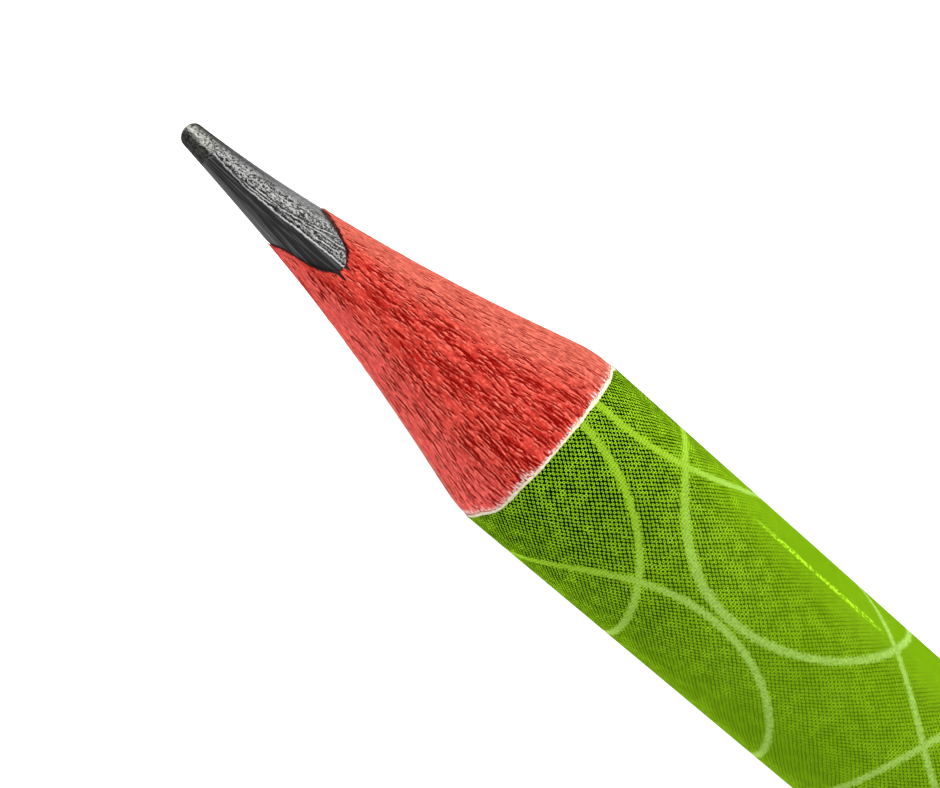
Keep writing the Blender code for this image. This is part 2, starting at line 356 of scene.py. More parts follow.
class Shell:
    """Gathers the points and faces of one closed piece and turns them into an object.

    Attributes:
        count: how many points there are.
        points: blocks of points in millimetres.
        faces: each face as its points' numbers.
        places: each face's corners on the texture map.
        values: named numbers for each block of points.
    """

    def __init__(self) -> None:
        """Start with nothing."""
        self.count = 0
        self.points: list[np.ndarray] = []
        self.faces: list[list[int]] = []
        self.places: list[np.ndarray] = []
        self.values: dict[str, list[tuple[int, np.ndarray]]] = {}

    def add(self, points: np.ndarray, **values: np.ndarray) -> np.ndarray:
        """Add points in any arrangement.

        Args:
            points: an array whose last axis is x, y and z.
            **values: numbers that the points carry, in the same arrangement.

        Returns:
            The points' numbers, in the same arrangement.
        """
        start = self.count
        flat = points.reshape(-1, 3)
        self.points.append(flat)
        self.count += len(flat)
        for name, numbers in values.items():
            self.values.setdefault(name, []).append((start, np.ravel(numbers)))
        return np.arange(start, self.count).reshape(points.shape[:-1])

    def where(self, numbers: Sequence[int]) -> np.ndarray:
        """The points with these numbers."""
        return np.concatenate(self.points)[list(numbers)]

    def weave(
        self, rows: np.ndarray, area: Area, closed: bool = False, up: np.ndarray | None = None
    ) -> None:
        """Fill a grid of points with four-sided faces.

        Args:
            rows: the points' numbers, row by row.
            area: where the grid lies on the texture map.
            closed: whether each row's last point joins its first.
            up: each row's height on the map from 0 to 1, even by default.
        """
        height, width = rows.shape
        columns = np.arange(width + closed)
        numbers = rows[:, columns % width]
        up = np.linspace(0, 1, height) if up is None else up
        across = np.linspace(0, 1, len(columns))
        spots = area.spread(across[None, :], up[:, None])
        corners = [np.s_[:-1, :-1], np.s_[:-1, 1:], np.s_[1:, 1:], np.s_[1:, :-1]]
        quads = np.stack([numbers[c] for c in corners], axis=-1).reshape(-1, 4)
        self.faces += quads.tolist()
        self.places.append(np.stack([spots[c] for c in corners], axis=2).reshape(-1, 2))

    def fan(self, ring: np.ndarray, centre: int, area: Area) -> None:
        """Close a ring of points with triangles to one point.

        Args:
            ring: the ring's points' numbers.
            centre: the one point's number.
            area: where the fan lies on the texture map.
        """
        turn = np.linspace(0, 2 * math.pi, len(ring) + 1)
        spots = area.spread(0.5 + np.cos(turn) / 2, 0.5 + np.sin(turn) / 2)
        middle = area.spread(np.array(0.5), np.array(0.5))
        for i, first in enumerate(ring):
            self.faces.append([int(first), int(ring[(i + 1) % len(ring)]), centre])
            self.places.append(np.array([spots[i], spots[i + 1], middle]))

    def panel(self, loop: Sequence[int], points: np.ndarray, area: Area) -> None:
        """Add one flat face with many corners.

        Args:
            loop: its corners' numbers, in order.
            points: each corner's two measures within the face.
            area: where the face lies on the texture map.
        """
        low, high = points.min(0), points.max(0)
        share = (points - low) / (high - low)
        self.faces.append([int(i) for i in loop])
        self.places.append(area.spread(share[:, 0], share[:, 1]))

    def build(self, name: str, sharp_degrees: float = 55.0) -> bpy.types.Object:
        """Make the object, in metres, with its faces turned outwards.

        Args:
            name: the object's name.
            sharp_degrees: edges that turn more than this stay sharp.

        Returns:
            The object, in the scene's collection.
        """
        mesh = bpy.data.meshes.new(name)
        mesh.from_pydata((np.concatenate(self.points) * MM).tolist(), [], self.faces)
        layer = mesh.uv_layers.new(name="OFBake")
        layer.data.foreach_set("uv", np.concatenate(self.places).ravel())
        for key, blocks in self.values.items():
            numbers = np.zeros(self.count, np.float32)
            for start, block in blocks:
                numbers[start : start + len(block)] = block
            attribute = mesh.attributes.new(key, "FLOAT", "POINT")
            attribute.data.foreach_set("value", numbers)
        bm = bmesh.new()
        bm.from_mesh(mesh)
        bmesh.ops.recalc_face_normals(bm, faces=bm.faces)
        bm.to_mesh(mesh)
        bm.free()
        mesh.shade_smooth()
        mesh.set_sharp_from_angle(angle=math.radians(sharp_degrees))
        obj = bpy.data.objects.new(name, mesh)
        bpy.context.scene.collection.objects.link(obj)
        return obj


def smooth(value: np.ndarray, start: float, end: float) -> np.ndarray:
    """Rise smoothly from 0 at start to 1 at end."""
    share = np.clip((value - start) / (end - start), 0.0, 1.0)
    return share * share * (3 - 2 * share)


def hump(value: np.ndarray, width: float) -> np.ndarray:
    """A rounded hump of height 1 at 0, about as wide on either side as width."""
    return np.exp(-((value / width) ** 2))


def grain(points: np.ndarray, size: float | Sequence[float], seed: float) -> np.ndarray:
    """Soft random values, from about -1 to 1.

    Args:
        points: where they are read.
        size: the lumps' size, or their size along each axis.
        seed: moves the pattern, so that each use has its own.

    Returns:
        One value for each point.
    """
    scaled = points / np.asarray(size) + seed
    flat = [noise.noise(place) for place in scaled.reshape(-1, 3).tolist()]
    return np.array(flat).reshape(points.shape[:-1]) * 1.6


def ring_places(angle: np.ndarray, radius: float) -> np.ndarray:
    """Places round a flat ring, at which grain is read so that it closes on itself."""
    return np.stack([np.cos(angle), np.sin(angle), np.zeros_like(angle)], axis=-1) * radius


def half_turned(degrees: np.ndarray) -> np.ndarray:
    """The same angles, brought between -180 and 180."""
    return (degrees + 180) % 360 - 180


# ---------------------------------------------------------------------------------------
# The pencil's own geometry
# ---------------------------------------------------------------------------------------


@dataclass(frozen=True)
class Axis:
    """A line through the pencil, with the two directions across it."""

    origin: np.ndarray
    along: np.ndarray
    up: np.ndarray
    side: np.ndarray

    def point(self, distance: np.ndarray, rise: np.ndarray, shift: np.ndarray) -> np.ndarray:
        """Points at distances along the line and across it."""
        parts = np.broadcast_arrays(distance, rise, shift)
        d, a, b = (part[..., None] for part in parts)
        return self.origin + d * self.along + a * self.up + b * self.side

    def ring(self, distance: np.ndarray, radius: np.ndarray, angle: np.ndarray) -> np.ndarray:
        """Points at distances along the line, at a radius and an angle."""
        return self.point(distance, radius * np.cos(angle), radius * np.sin(angle))

    def across(self, points: np.ndarray) -> tuple[np.ndarray, np.ndarray]:
        """Each point's radius from the line and its angle."""
        offset = points - self.origin
        rise, shift = offset @ self.up, offset @ self.side
        return np.hypot(rise, shift), np.arctan2(shift, rise)


@dataclass(frozen=True)
class Lobe:
    """A slight swelling of the core's outline.

    Attributes:
        middle: its angle from the top, in degrees.
        width: in degrees.
        height: how far it stands out; below 0, it is a dent.
    """

    middle: float
    width: float
    height: float


@dataclass(frozen=True)
class Blank:
    """The pencil before it was sharpened.

    Attributes:
        length: from the tip to the rear end.
        radius: of the barrel over the film, which is also the axis's height.
        core_radius: of the graphite.
        core_rise: how far the core lies above the barrel's axis.
        core_shift: how far it lies towards +Y.
        film: thickness of the printed film.
        coat: thickness of the base coat.
        glue: thickness of the glue.
        gap: clearance between pieces that lie face to face.
        lobes: slight swellings of the core near the point.
    """

    length: float
    radius: float
    core_radius: float
    core_rise: float
    core_shift: float
    film: float = 0.020
    coat: float = 0.018
    glue: float = 0.04
    gap: float = 0.005
    lobes: tuple[Lobe, ...] = (
        Lobe(-36.0, 20.0, 0.045),
        Lobe(18.0, 12.0, -0.014),
        Lobe(84.0, 13.0, -0.034),
        Lobe(-16.0, 9.0, 0.007),
    )

    @classmethod
    def from_frame(cls) -> Blank:
        """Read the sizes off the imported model."""
        low, high = (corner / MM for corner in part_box("graphite_core"))
        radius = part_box("printed_film")[1].z / MM / 2
        return cls(
            length=high.x - low.x,
            radius=radius,
            core_radius=(high.y - low.y) / 2,
            core_rise=(high.z + low.z) / 2 - radius,
            core_shift=(high.y + low.y) / 2,
        )

    @property
    def coat_radius(self) -> float:
        """Outside of the base coat."""
        return self.radius - self.film - self.gap

    @property
    def wood_radius(self) -> float:
        """Outside of the turned wood."""
        return self.coat_radius - self.coat - self.gap

    @property
    def groove_gap(self) -> float:
        """From the core's outside to the groove's wall."""
        return self.glue + 2 * self.gap

    @property
    def tip(self) -> float:
        """The tip's place along X."""
        return -self.length / 2

    def axis(self) -> Axis:
        """The barrel's axis."""
        x, y, z = np.eye(3)
        return Axis(np.array([self.tip, 0.0, self.radius]), x, z, y)

    def core_axis(self) -> Axis:
        """The core's axis."""
        x, y, z = np.eye(3)
        return Axis(
            np.array([self.tip, self.core_shift, self.radius + self.core_rise]), x, z, y
        )

    def core_outline(self, angle: np.ndarray, distance: np.ndarray) -> np.ndarray:
        """How much the core stands out from a true round, which it regains further back.

        Args:
            angle: round the core from its top.
            distance: from the tip.

        Returns:
            What is added to the core's radius.
        """
        swell, dent = 0.036, 0.14
        waves = 1.4
        reach = math.radians(38.7)
        lowest = math.pi / 2 / waves
        turn = np.abs(angle)
        near = swell - dent * np.sin(waves * turn) ** 2
        past = (turn - lowest) / reach * math.pi / 2
        beneath = 0.08 * smooth(turn, math.radians(92), math.radians(118))
        far = (swell - dent) * np.cos(np.clip(past, 0, math.pi / 2)) ** 2 + beneath
        outline = np.where(turn < lowest, near, far)
        for lobe in self.lobes:
            beside = angle - math.radians(lobe.middle)
            outline = outline + lobe.height * hump(beside, math.radians(lobe.width))
        return outline * (1 - smooth(distance, INNER_STATIONS[0], INNER_STATIONS[-1]))


@dataclass(frozen=True)
class Cut:
    """The sharpener's cut, a shallow hollow cone about an axis that leans a little.

    Attributes:
        blank: what was sharpened.
        tip_radius: of the cone where it runs into the rounded tip.
        cap_length: of the rounded tip.
        slope: radius gained per unit of length beside the tip.
        hollow_radius: of the inward curve that the blade leaves.
        wood_step: how far the wood stands above the softer graphite.
        level_start: up to here, the wood underneath lies level with the graphite.
        level_end: from here on, it has the full step underneath too.
        shoulder_run: length over which the cut feathers out through the coats.
        shoulder_slope: slope of that stretch.
        shoulder_blend: how softly the cone runs into it.
        tilt: lean of the cut's axis.
        rise: offset of the cut's axis upwards.
        shift: offset towards +Y at the shoulder.
        lean: how far writing has worn the tip over towards +Y.
        lean_length: length of the worn stretch.
    """

    blank: Blank
    tip_radius: float = 0.39
    cap_length: float = 0.32
    slope: float = 0.10
    hollow_radius: float = 66.7
    wood_step: float = 0.06
    level_start: float = 4.9
    level_end: float = 7.5
    shoulder_run: float = 0.53
    shoulder_slope: float = 0.10
    shoulder_blend: float = 0.105
    tilt: float = math.radians(0.37)
    rise: float = 0.02
    shift: float = -0.012
    lean: float = 0.07
    lean_length: float = 3.6

    @property
    def film_edge(self) -> float:
        """Where the cut comes out through the film, at the top of the barrel."""
        missing = self.blank.radius - self.tip_radius - self.wood_step
        reach = math.sqrt(self.slope**2 + 2 * missing / self.hollow_radius)
        return (reach - self.slope) * self.hollow_radius + self.shoulder_run

    def axis(self) -> Axis:
        """The cut's axis, from the tip."""
        blank = self.blank
        shift = self.shift + self.film_edge * math.tan(self.tilt)
        cos, sin = math.cos(self.tilt), math.sin(self.tilt)
        return Axis(
            np.array([blank.tip, shift, blank.radius + self.rise]),
            np.array([cos, -sin, 0.0]),
            np.array([0.0, 0.0, 1.0]),
            np.array([sin, cos, 0.0]),
        )

    def cone(self, distance: np.ndarray) -> np.ndarray:
        """Radius of the graphite's cut."""
        return self.tip_radius + self.slope * distance + distance**2 / (2 * self.hollow_radius)

    def lead(self, distance: np.ndarray) -> np.ndarray:
        """Radius of the graphite, with its rounded tip."""
        rim = self.cone(self.cap_length)
        share = np.clip(1 - distance / self.cap_length, 0.0, 1.0)
        return np.where(
            distance < self.cap_length, rim * np.sqrt(1 - share**2), self.cone(distance)
        )

    def wood(self, distance: np.ndarray, angle: np.ndarray) -> np.ndarray:
        """Radius of the wood's cut, from the cone into the feathered shoulder.

        Args:
            distance: from the tip along the cut's axis.
            angle: round it, from the top.

        Returns:
            The radius from the cut's axis.
        """
        under = smooth(np.abs(angle), math.radians(80), math.radians(95))
        risen = 1 - under * (1 - smooth(distance, self.level_start, self.level_end))
        cone = self.cone(distance) + self.wood_step * risen
        shoulder = self.blank.radius + self.shoulder_slope * (distance - self.film_edge)
        return (cone + shoulder - np.hypot(cone - shoulder, self.shoulder_blend)) / 2

    def worn(self, distance: np.ndarray) -> np.ndarray:
        """How far the worn tip stands over towards +Y."""
        return self.lean * np.clip(1 - distance / self.lean_length, 0.0, None) ** 2


def solve(rule: Rule, low: float, high: np.ndarray, halvings: int = 32) -> np.ndarray:
    """Find where a rule that is negative at low and positive at high passes through 0.

    Args:
        rule: takes a value for each column and returns one for each.
        low: where the search starts.
        high: where it ends, for each column.
        halvings: how often the space between them is halved.

    Returns:
        The place of the 0 in each column.
    """
    below, above = np.full_like(high, low), high.copy()
    for _ in range(halvings):
        middle = (below + above) / 2
        positive = rule(middle) > 0
        above = np.where(positive, middle, above)
        below = np.where(positive, below, middle)
    return (below + above) / 2


# ---------------------------------------------------------------------------------------
# Finishes
# ---------------------------------------------------------------------------------------


@dataclass(frozen=True)
class GraphiteFinish:
    """Burnished graphite: dull on the blade's flat, sparkling where it crumbled.

    Attributes:
        cut: the cut that the marks run along.
        flat: the blade's flat.
        streak: the streaks along it.
        dark: pits of the crumbled side.
        light: its sparkling crumbs.
        satin_dark: the darker streaks of the smoother side.
        satin_light: its lighter ones.
        ridge_highlight: painted highlight on the ridge beside the flat, the scratches and tip
            glint.
        groove: painted shade in the sunk line beside them.
        tip_tint: what the worn tip's colour is multiplied by, to warm it.
    """

    cut: Cut
    flat: Colour = display(37, 37, 38)
    streak: Colour = display(104, 104, 104)
    dark: Colour = display(31, 31, 31)
    light: Colour = display(185, 185, 184)
    satin_dark: Colour = display(72, 72, 72)
    satin_light: Colour = display(118, 118, 118)
    # Painted highlight on the raised lines, and painted shade in the sunk lines beside them.
    ridge_highlight: Colour = display(222, 222, 222)
    groove: Colour = display(14, 14, 14)
    tip_tint: Colour = (1.0, 1.0, 0.92)

    def combed(self, graph: Graph, place: Tint) -> Tint:
        """Coordinates that run out from the tip, for marks drawn along the cone.

        Args:
            graph: the material's nodes.
            place: the point's place.

        Returns:
            The place along the cone and round it, stretched along it.
        """
        axis = self.cut.axis()
        x, y, z = graph.split(place)
        along = x - axis.origin[0]
        side, rise = y - axis.origin[1], z - axis.origin[2]
        radius = graph.math("SQRT", side * side + rise * rise)
        return graph.join(along * 0.55, side / radius * 14.0, rise / radius * 14.0)

    def material(self) -> bpy.types.Material:
        """Build the material."""
        graph = Graph("graphite")
        place = graph.position()
        crumbs = graph.value("crumbs")
        flat = graph.value("flat")
        ridge_highlight = graph.value("ridge_highlight")
        # The crumbled side is a net of short worms, broken further by the mesh's crumbs.
        worms = graph.clouds(place.stretched(0.62), scale=17.0, detail=2.0, distortion=1.2)
        streaks = graph.clouds(self.combed(graph, place), scale=1.0, detail=3.0)
        light = (worms + crumbs * 0.10 + streaks * 0.30).step(0.55, 0.79)
        colour = graph.mix(light, self.dark, self.light)
        satin = graph.mix(streaks.step(0.35, 0.65), self.satin_dark, self.satin_light)
        colour = colour.blend(satin, graph.value("smooth") * 0.8)
        # Painted shade: darker beside the ridge and over the worn tip's +Y side.
        colour = colour.blend(colour.scaled(0.13), graph.value("shade"))
        # The blade's flat, the lines that it drew, painted light where they stand up and dark
        # where they sink, and the worn tip lie over all that.
        sheen = streaks.step(0.50, 0.72) * 0.8 + graph.value("edge")
        colour = colour.blend(graph.mix(sheen, self.flat, self.streak), flat)
        # Painted highlight on the raised lines and painted shade in the sunk lines beside them.
        colour = colour.blend(self.ridge_highlight, ridge_highlight.most(0.0).least(1.0))
        colour = colour.blend(self.groove, (0.0 - ridge_highlight).most(0.0).least(1.0))
        colour = colour.blend(colour.times(self.tip_tint), graph.value("tip"))
        height = worms * (1 - flat) * 0.010 + streaks * 0.004
        return graph.finish(
            Base_Color=colour,
            Roughness=0.6 - flat * 0.12,
            Specular_IOR_Level=0.16,
            Normal=graph.bump(height, strength=0.8),
        )


@dataclass(frozen=True)
class WoodFinish:
    """Dyed wood, with dark torn pores, raised fibres and paint at its edge, and painted
    highlights on its fibres, sheen to its sides and shadow along its lip.

    Attributes:
        blank: the pencil, whose axis the colours turn about.
        middle: the dye along the top.
        vein: the stronger dye in its veins.
        lit_sheen: painted light and sheen, paler, on the +Y side.
        crimson_sheen: painted sheen, cooler and lighter, on the -Y side.
        pale: painted grazing sheen low on the -Y side.
        pore: inside the torn pores.
        rim: painted highlight on the pores' raised edges.
        lip: painted shadow along the wood's broken edge beside the core.
        paint: of the base coat's broken fibres.
        fibre_radius: where the fibres' pattern has its true size; it widens with the cone.
    """

    blank: Blank
    middle: Colour = display(214, 69, 57)
    vein: Colour = display(184, 34, 25)
    # Painted light and sheen on the +Y side, and painted sheen on the -Y side.
    lit_sheen: Colour = display(202, 94, 78)
    crimson_sheen: Colour = display(234, 92, 86)
    # Painted grazing sheen low on the -Y side.
    pale: Colour = display(222, 138, 132)
    pore: Colour = display(134, 4, 0)
    # Painted highlight on raised fibres and grain.
    rim: Colour = display(252, 146, 126)
    # Painted shadow along the broken edge beside the graphite.
    lip: Colour = display(20, 2, 5)
    paint: Colour = display(250, 226, 218)
    fibre_radius: float = 2.6

    def material(self) -> bpy.types.Material:
        """Build the material."""
        graph = Graph("dyed_wood")
        place = graph.position()
        along, side, height = graph.split(place)
        turn = graph.math("ARCTAN2", side, height - self.blank.radius)
        relief = graph.value("relief")
        radius = graph.math("SQRT", side * side + (height - self.blank.radius) ** 2)
        # The fibres' patterns fan out with the cone, but not over the flat rear end.
        cut_end = (along - self.blank.tip).step(self.blank.length - 0.2, self.blank.length - 0.1)
        flare = self.fibre_radius / radius * (1 - cut_end) + cut_end
        fanned = graph.join(along, side * flare, (height - self.blank.radius) * flare)
        cells = graph.clouds(fanned.stretched(0.26), scale=11.0, detail=3.0)
        grit = graph.clouds(fanned.stretched(0.50), scale=12.0, detail=2.0, distortion=0.6)
        veins = graph.clouds(fanned.stretched(0.16), scale=2.4, detail=3.0, distortion=0.3)
        wander = (graph.clouds(place.stretched(0.25), scale=1.0, detail=2.0) - 0.5) * 0.7
        turned = turn + wander
        # The dye, with its veins; the paler +Y side and cooler -Y side are painted light and sheen.
        colour = graph.mix(veins.step(0.42, 0.66), self.middle, self.vein)
        flanks = abs(turn).step(3.0, 2.1) * (1 - cut_end)
        right = turned.step(0.30, 0.85) * flanks
        left = turned.step(-0.25, -0.85) * flanks
        colour = colour.blend(self.lit_sheen, right).blend(self.crimson_sheen, left * 0.85)
        colour = colour.blend(self.pale, turn.step(-1.15, -1.55) * flanks * 0.8)
        # The wood's cells and grit, its raised fibres with a painted highlight, and its pores.
        colour = colour.scaled(0.66 + cells.step(0.36, 0.64) * 0.34 + grit.step(0.40, 0.60) * 0.26)
        # Painted light: a little brighter towards -Y.
        colour = colour.scaled(1 + turned.step(0.10, -0.30) * 0.13)
        # Painted highlight where the grit and cells stand highest.
        colour = colour.blend(self.rim, grit.step(0.48, 0.66) * cells.step(0.42, 0.60) * 0.42)
        # Fewer dark cells on the +Y side, as part of its painted light.
        fine = cells.step(0.42, 0.34) * 0.40 * (1 - right * 0.45)
        deep = relief.step(-0.10, -0.55)
        # Painted highlight on the fibres raised beside the pores.
        colour = colour.blend(self.rim, relief.step(0.08, 0.6) * 0.75)
        colour = colour.blend(self.pore, (fine + deep * (1 - fine)).least(0.95))
        # Painted shadow along the broken lip beside the graphite.
        colour = colour.blend(self.lip, graph.value("lip") * 0.95)
        colour = colour.blend(self.paint, graph.value("paint"))
        return graph.finish(
            Base_Color=colour,
            Roughness=0.8,
            Specular_IOR_Level=0.03,
            Normal=graph.bump(cells * 0.020 + grit * 0.008, strength=0.9),
        )


@dataclass(frozen=True)
class GlueFinish:
    """Dried glue in the narrow recessed joint, painted near black as the shade there."""

    # Painted shade: near black for the shadow in the recessed joint.
    colour: Colour = display(20, 8, 5)
    lighter: Colour = display(52, 26, 17)

    def material(self) -> bpy.types.Material:
        """Build the material."""
        graph = Graph("wood_glue")
        lumps = graph.clouds(graph.position(), scale=3.0, detail=3.0)
        colour = graph.mix(lumps, self.colour, self.lighter)
        return graph.finish(
            Base_Color=colour, Roughness=0.45, Normal=graph.bump(lumps * 0.01, strength=0.6)
        )


@dataclass(frozen=True)
class CoatFinish:
    """Pale filler coat, chalky where it broke."""

    colour: Colour = display(246, 238, 208)
    shade: Colour = display(226, 208, 172)

    def material(self) -> bpy.types.Material:
        """Build the material."""
        graph = Graph("base_coat")
        lumps = graph.clouds(graph.position(), scale=6.0, detail=3.0)
        colour = graph.mix(lumps.step(0.35, 0.7), self.colour, self.shade)
        return graph.finish(
            Base_Color=colour, Roughness=0.7, Normal=graph.bump(lumps * 0.012, strength=0.7)
        )


@dataclass(frozen=True)
class Ring:
    """One printed ring on the unrolled film.

    Attributes:
        distance: of its middle from the tip.
        turn: of its middle round the barrel, as a length on the surface.
        radius: to the middle of its line.
        stretch: how much longer than wide it is.
        tilt: of its long side away from the barrel's length.
    """

    distance: float
    turn: float
    radius: float
    stretch: float = 1.0
    tilt: float = 0.0

    def gap(self, along: Signal, across: Signal) -> Signal:
        """How far a point is from the ring's line.

        Args:
            along: the point's distance from the ring's middle, along the barrel.
            across: the same, round the barrel.

        Returns:
            The distance from the middle of the line.
        """
        cos, sin = math.cos(self.tilt), math.sin(self.tilt)
        long = (along * cos + across * sin) / self.stretch
        wide = across * cos - along * sin
        return abs(long.graph.math("SQRT", long * long + wide * wide) - self.radius)


@dataclass(frozen=True)
class FilmFinish:
    """A film printed with a screen of dark dots and a pattern of pale overlapping rings.

    The sheet is printed flat and then wrapped round, so the rings break off at its seam.

    Attributes:
        blank: the pencil it wraps.
        rings: the rings of one repeat.
        seam: the seam's angle.
        repeat: length after which the rings come again.
        line: width of a ring's line.
        dots_along: half the dots to a millimetre of length.
        dots_around: half the dots round the barrel.
        fresh_end: up to here from the tip, the rings' lines look fresh.
        aged_start: from here on, they look pale.
        glint_angle: of the painted glint, broken, along the film's +Y side.
        glint_start: where the painted glint begins.
        glint_end: where it ends.
        cell: the print between its dots.
        cell_shade: its duller patches.
        halo: beside a dot.
        valley: the middle of the space between the dots.
        ink: the dots.
        even: what the dots and the space between them blur to.
        fresh_line: the rings' lines beside the cut edge.
        pale_line: the same lines further back.
        painted_glint: the painted highlight of the glint.
    """

    blank: Blank
    rings: tuple[Ring, ...]
    seam: float
    repeat: float = 38.0
    line: float = 0.25
    dots_along: float = 4.74
    dots_around: int = 138
    fresh_end: float = 17.5
    aged_start: float = 22.5
    # Painted highlight: where the glint lies.
    glint_angle: float = 0.856
    glint_start: float = 22.0
    glint_end: float = 29.2
    cell: Colour = display(172, 228, 44)
    cell_shade: Colour = display(154, 212, 30)
    halo: Colour = display(184, 242, 36)
    valley: Colour = display(72, 120, 0)
    ink: Colour = display(2, 28, 0)
    even: Colour = display(94, 138, 0)
    fresh_line: Colour = display(150, 186, 56)
    pale_line: Colour = display(160, 198, 92)
    # Painted highlight of the glint.
    painted_glint: Colour = display(186, 246, 44)

    def material(self) -> bpy.types.Material:
        """Build the material."""
        graph = Graph("printed_film")
        place = graph.position()
        x, y, z = graph.split(place)
        distance = x - self.blank.tip
        angle = graph.math("ARCTAN2", y, z - self.blank.radius)
        angle = angle.wrapped(self.seam - 2 * math.pi, self.seam)
        lines = self.line_mask(graph, distance, angle * self.blank.radius, place)
        # The screen of dots. It is 1 at a dot's middle, and drifts a little along and round.
        drift = (graph.clouds(place, scale=3.0, detail=1.0) - 0.5) * 0.07
        sway = (graph.clouds(place, scale=3.6, detail=1.0, distortion=0.4) - 0.5) * 0.022
        screen = ((distance + drift) * (2 * math.pi * self.dots_along)).cosine()
        screen = screen * ((angle + sway) * self.dots_around).cosine()
        # The bar is what the screen has to pass to be inked. It is uneven, so that the dots
        # differ in size and link up here and there, and it is higher on the rings' lines.
        uneven = graph.clouds(place, scale=2.4, detail=4.0)
        fine = graph.clouds(place, scale=13.0, detail=2.0)
        links = graph.clouds(place, scale=7.0, detail=1.0)
        tone = graph.clouds(place, scale=0.4, detail=1.0)
        bar = 0.81 - uneven * 0.95 - tone * 0.20 - links * 0.70 + lines * 0.40
        bar = bar - distance.step(17.2, 16.2) * 0.03
        dots = (screen - bar).step(-0.05, 0.11)
        # The print looks softer further back, and most of all on its far side.
        far_side = distance.step(19.0, 25.0) * angle.step(0.50, 1.05)
        crisp = 1 - distance.step(17.0, 27.0) * 0.26 - far_side * 0.42
        colour = graph.mix(tone.step(0.3, 0.7), self.cell, self.cell_shade)
        colour = colour.blend(self.valley, (screen + links - 0.5).step(-0.15, -0.75) * 0.9)
        colour = colour.blend(self.halo, (screen - bar).step(-0.58, -0.26) * 0.60)
        colour = colour.blend(self.even, 1 - crisp)
        # The rings' lines, with the dots still faintly through them.
        aged = distance.step(self.fresh_end, self.aged_start)
        pale = graph.mix(aged, self.fresh_line, self.pale_line)
        pale = pale.scaled(0.84 + fine.step(0.38, 0.62) * 0.34)
        colour = colour.blend(pale, lines * (0.50 + aged * 0.35))
        colour = colour.blend(self.ink, dots * crisp * (1 - lines * (0.66 + aged * 0.1)))
        # The painted glint, broken, along the +Y side; painted light on the -Y side and painted
        # shade on the top.
        spark = graph.clouds(place, scale=10.0, detail=2.0).step(0.44, 0.58)
        wander = (graph.clouds(place, scale=3.0, detail=1.0) - 0.5) * 0.03
        band = abs(angle + wander - self.glint_angle).step(0.034, 0.012)
        band = band * distance.step(self.glint_start, self.glint_start + 2.0)
        band = band * distance.step(self.glint_end, self.glint_end - 1.2)
        colour = colour.blend(self.painted_glint, band * spark)
        # Painted shade on the top and painted light on the -Y side.
        painted_top_shade = angle.step(-0.50, 0.0) * angle.step(0.95, 0.55)
        colour = colour.scaled(1 + angle.step(-0.95, -1.25) * 0.30 - painted_top_shade * 0.14)
        height = dots * 0.0010 + fine * 0.002
        return graph.finish(
            Base_Color=colour,
            Roughness=0.46 + fine * 0.1,
            Specular_IOR_Level=0.0,
            Normal=graph.bump(height, strength=0.5),
        )

    def line_mask(self, graph: Graph, distance: Signal, around: Signal, place: Tint) -> Signal:
        """Where the rings' lines are printed.

        Args:
            graph: the material's nodes.
            distance: from the tip.
            around: the length round the barrel, from its top.
            place: the point's place.

        Returns:
            From 0 beside a line to 1 on it.
        """
        wobble = (graph.clouds(place, scale=12.0, detail=2.0) - 0.5) * 0.26
        nearest: Signal | None = None
        for ring in self.rings:
            along = (distance - ring.distance).wrapped(-self.repeat / 2, self.repeat / 2)
            gap = ring.gap(along, around - ring.turn)
            nearest = gap if nearest is None else nearest.least(gap)
        half = self.line / 2
        return (nearest + wobble).step(half + 0.06, half - 0.07)


# ---------------------------------------------------------------------------------------
# Pieces
# ---------------------------------------------------------------------------------------


@dataclass
class Piece:
    """What all pieces share.

    Attributes:
        cut: the sharpener's cut, which holds the blank.
    """

    cut: Cut

    @property
    def blank(self) -> Blank:
        """The unsharpened pencil."""
        return self.cut.blank

    def place(
        self, obj: bpy.types.Object, node: str, slot: Slot, material: bpy.types.Material
    ) -> bpy.types.Object:
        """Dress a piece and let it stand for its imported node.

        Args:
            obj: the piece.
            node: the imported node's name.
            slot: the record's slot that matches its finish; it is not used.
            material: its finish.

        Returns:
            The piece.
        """
        obj.data.materials.append(material)
        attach(obj, "root")
        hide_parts(node)
        LOG.info("%s: %d faces", obj.name, len(obj.data.polygons))
        return obj


@dataclass(frozen=True)
class Scratch:
    """One raised line, with a sunk one on each side, that the blade drew down the graphite,
    painted with a highlight on the raised line and with shade in the sunk ones.

    Attributes:
        start: distance from the tip at which it begins.
        turn: its angle there, in degrees.
        gain: degrees that it turns in a millimetre.
        length: how far it runs.
    """

    start: float
    turn: float
    gain: float
    length: float


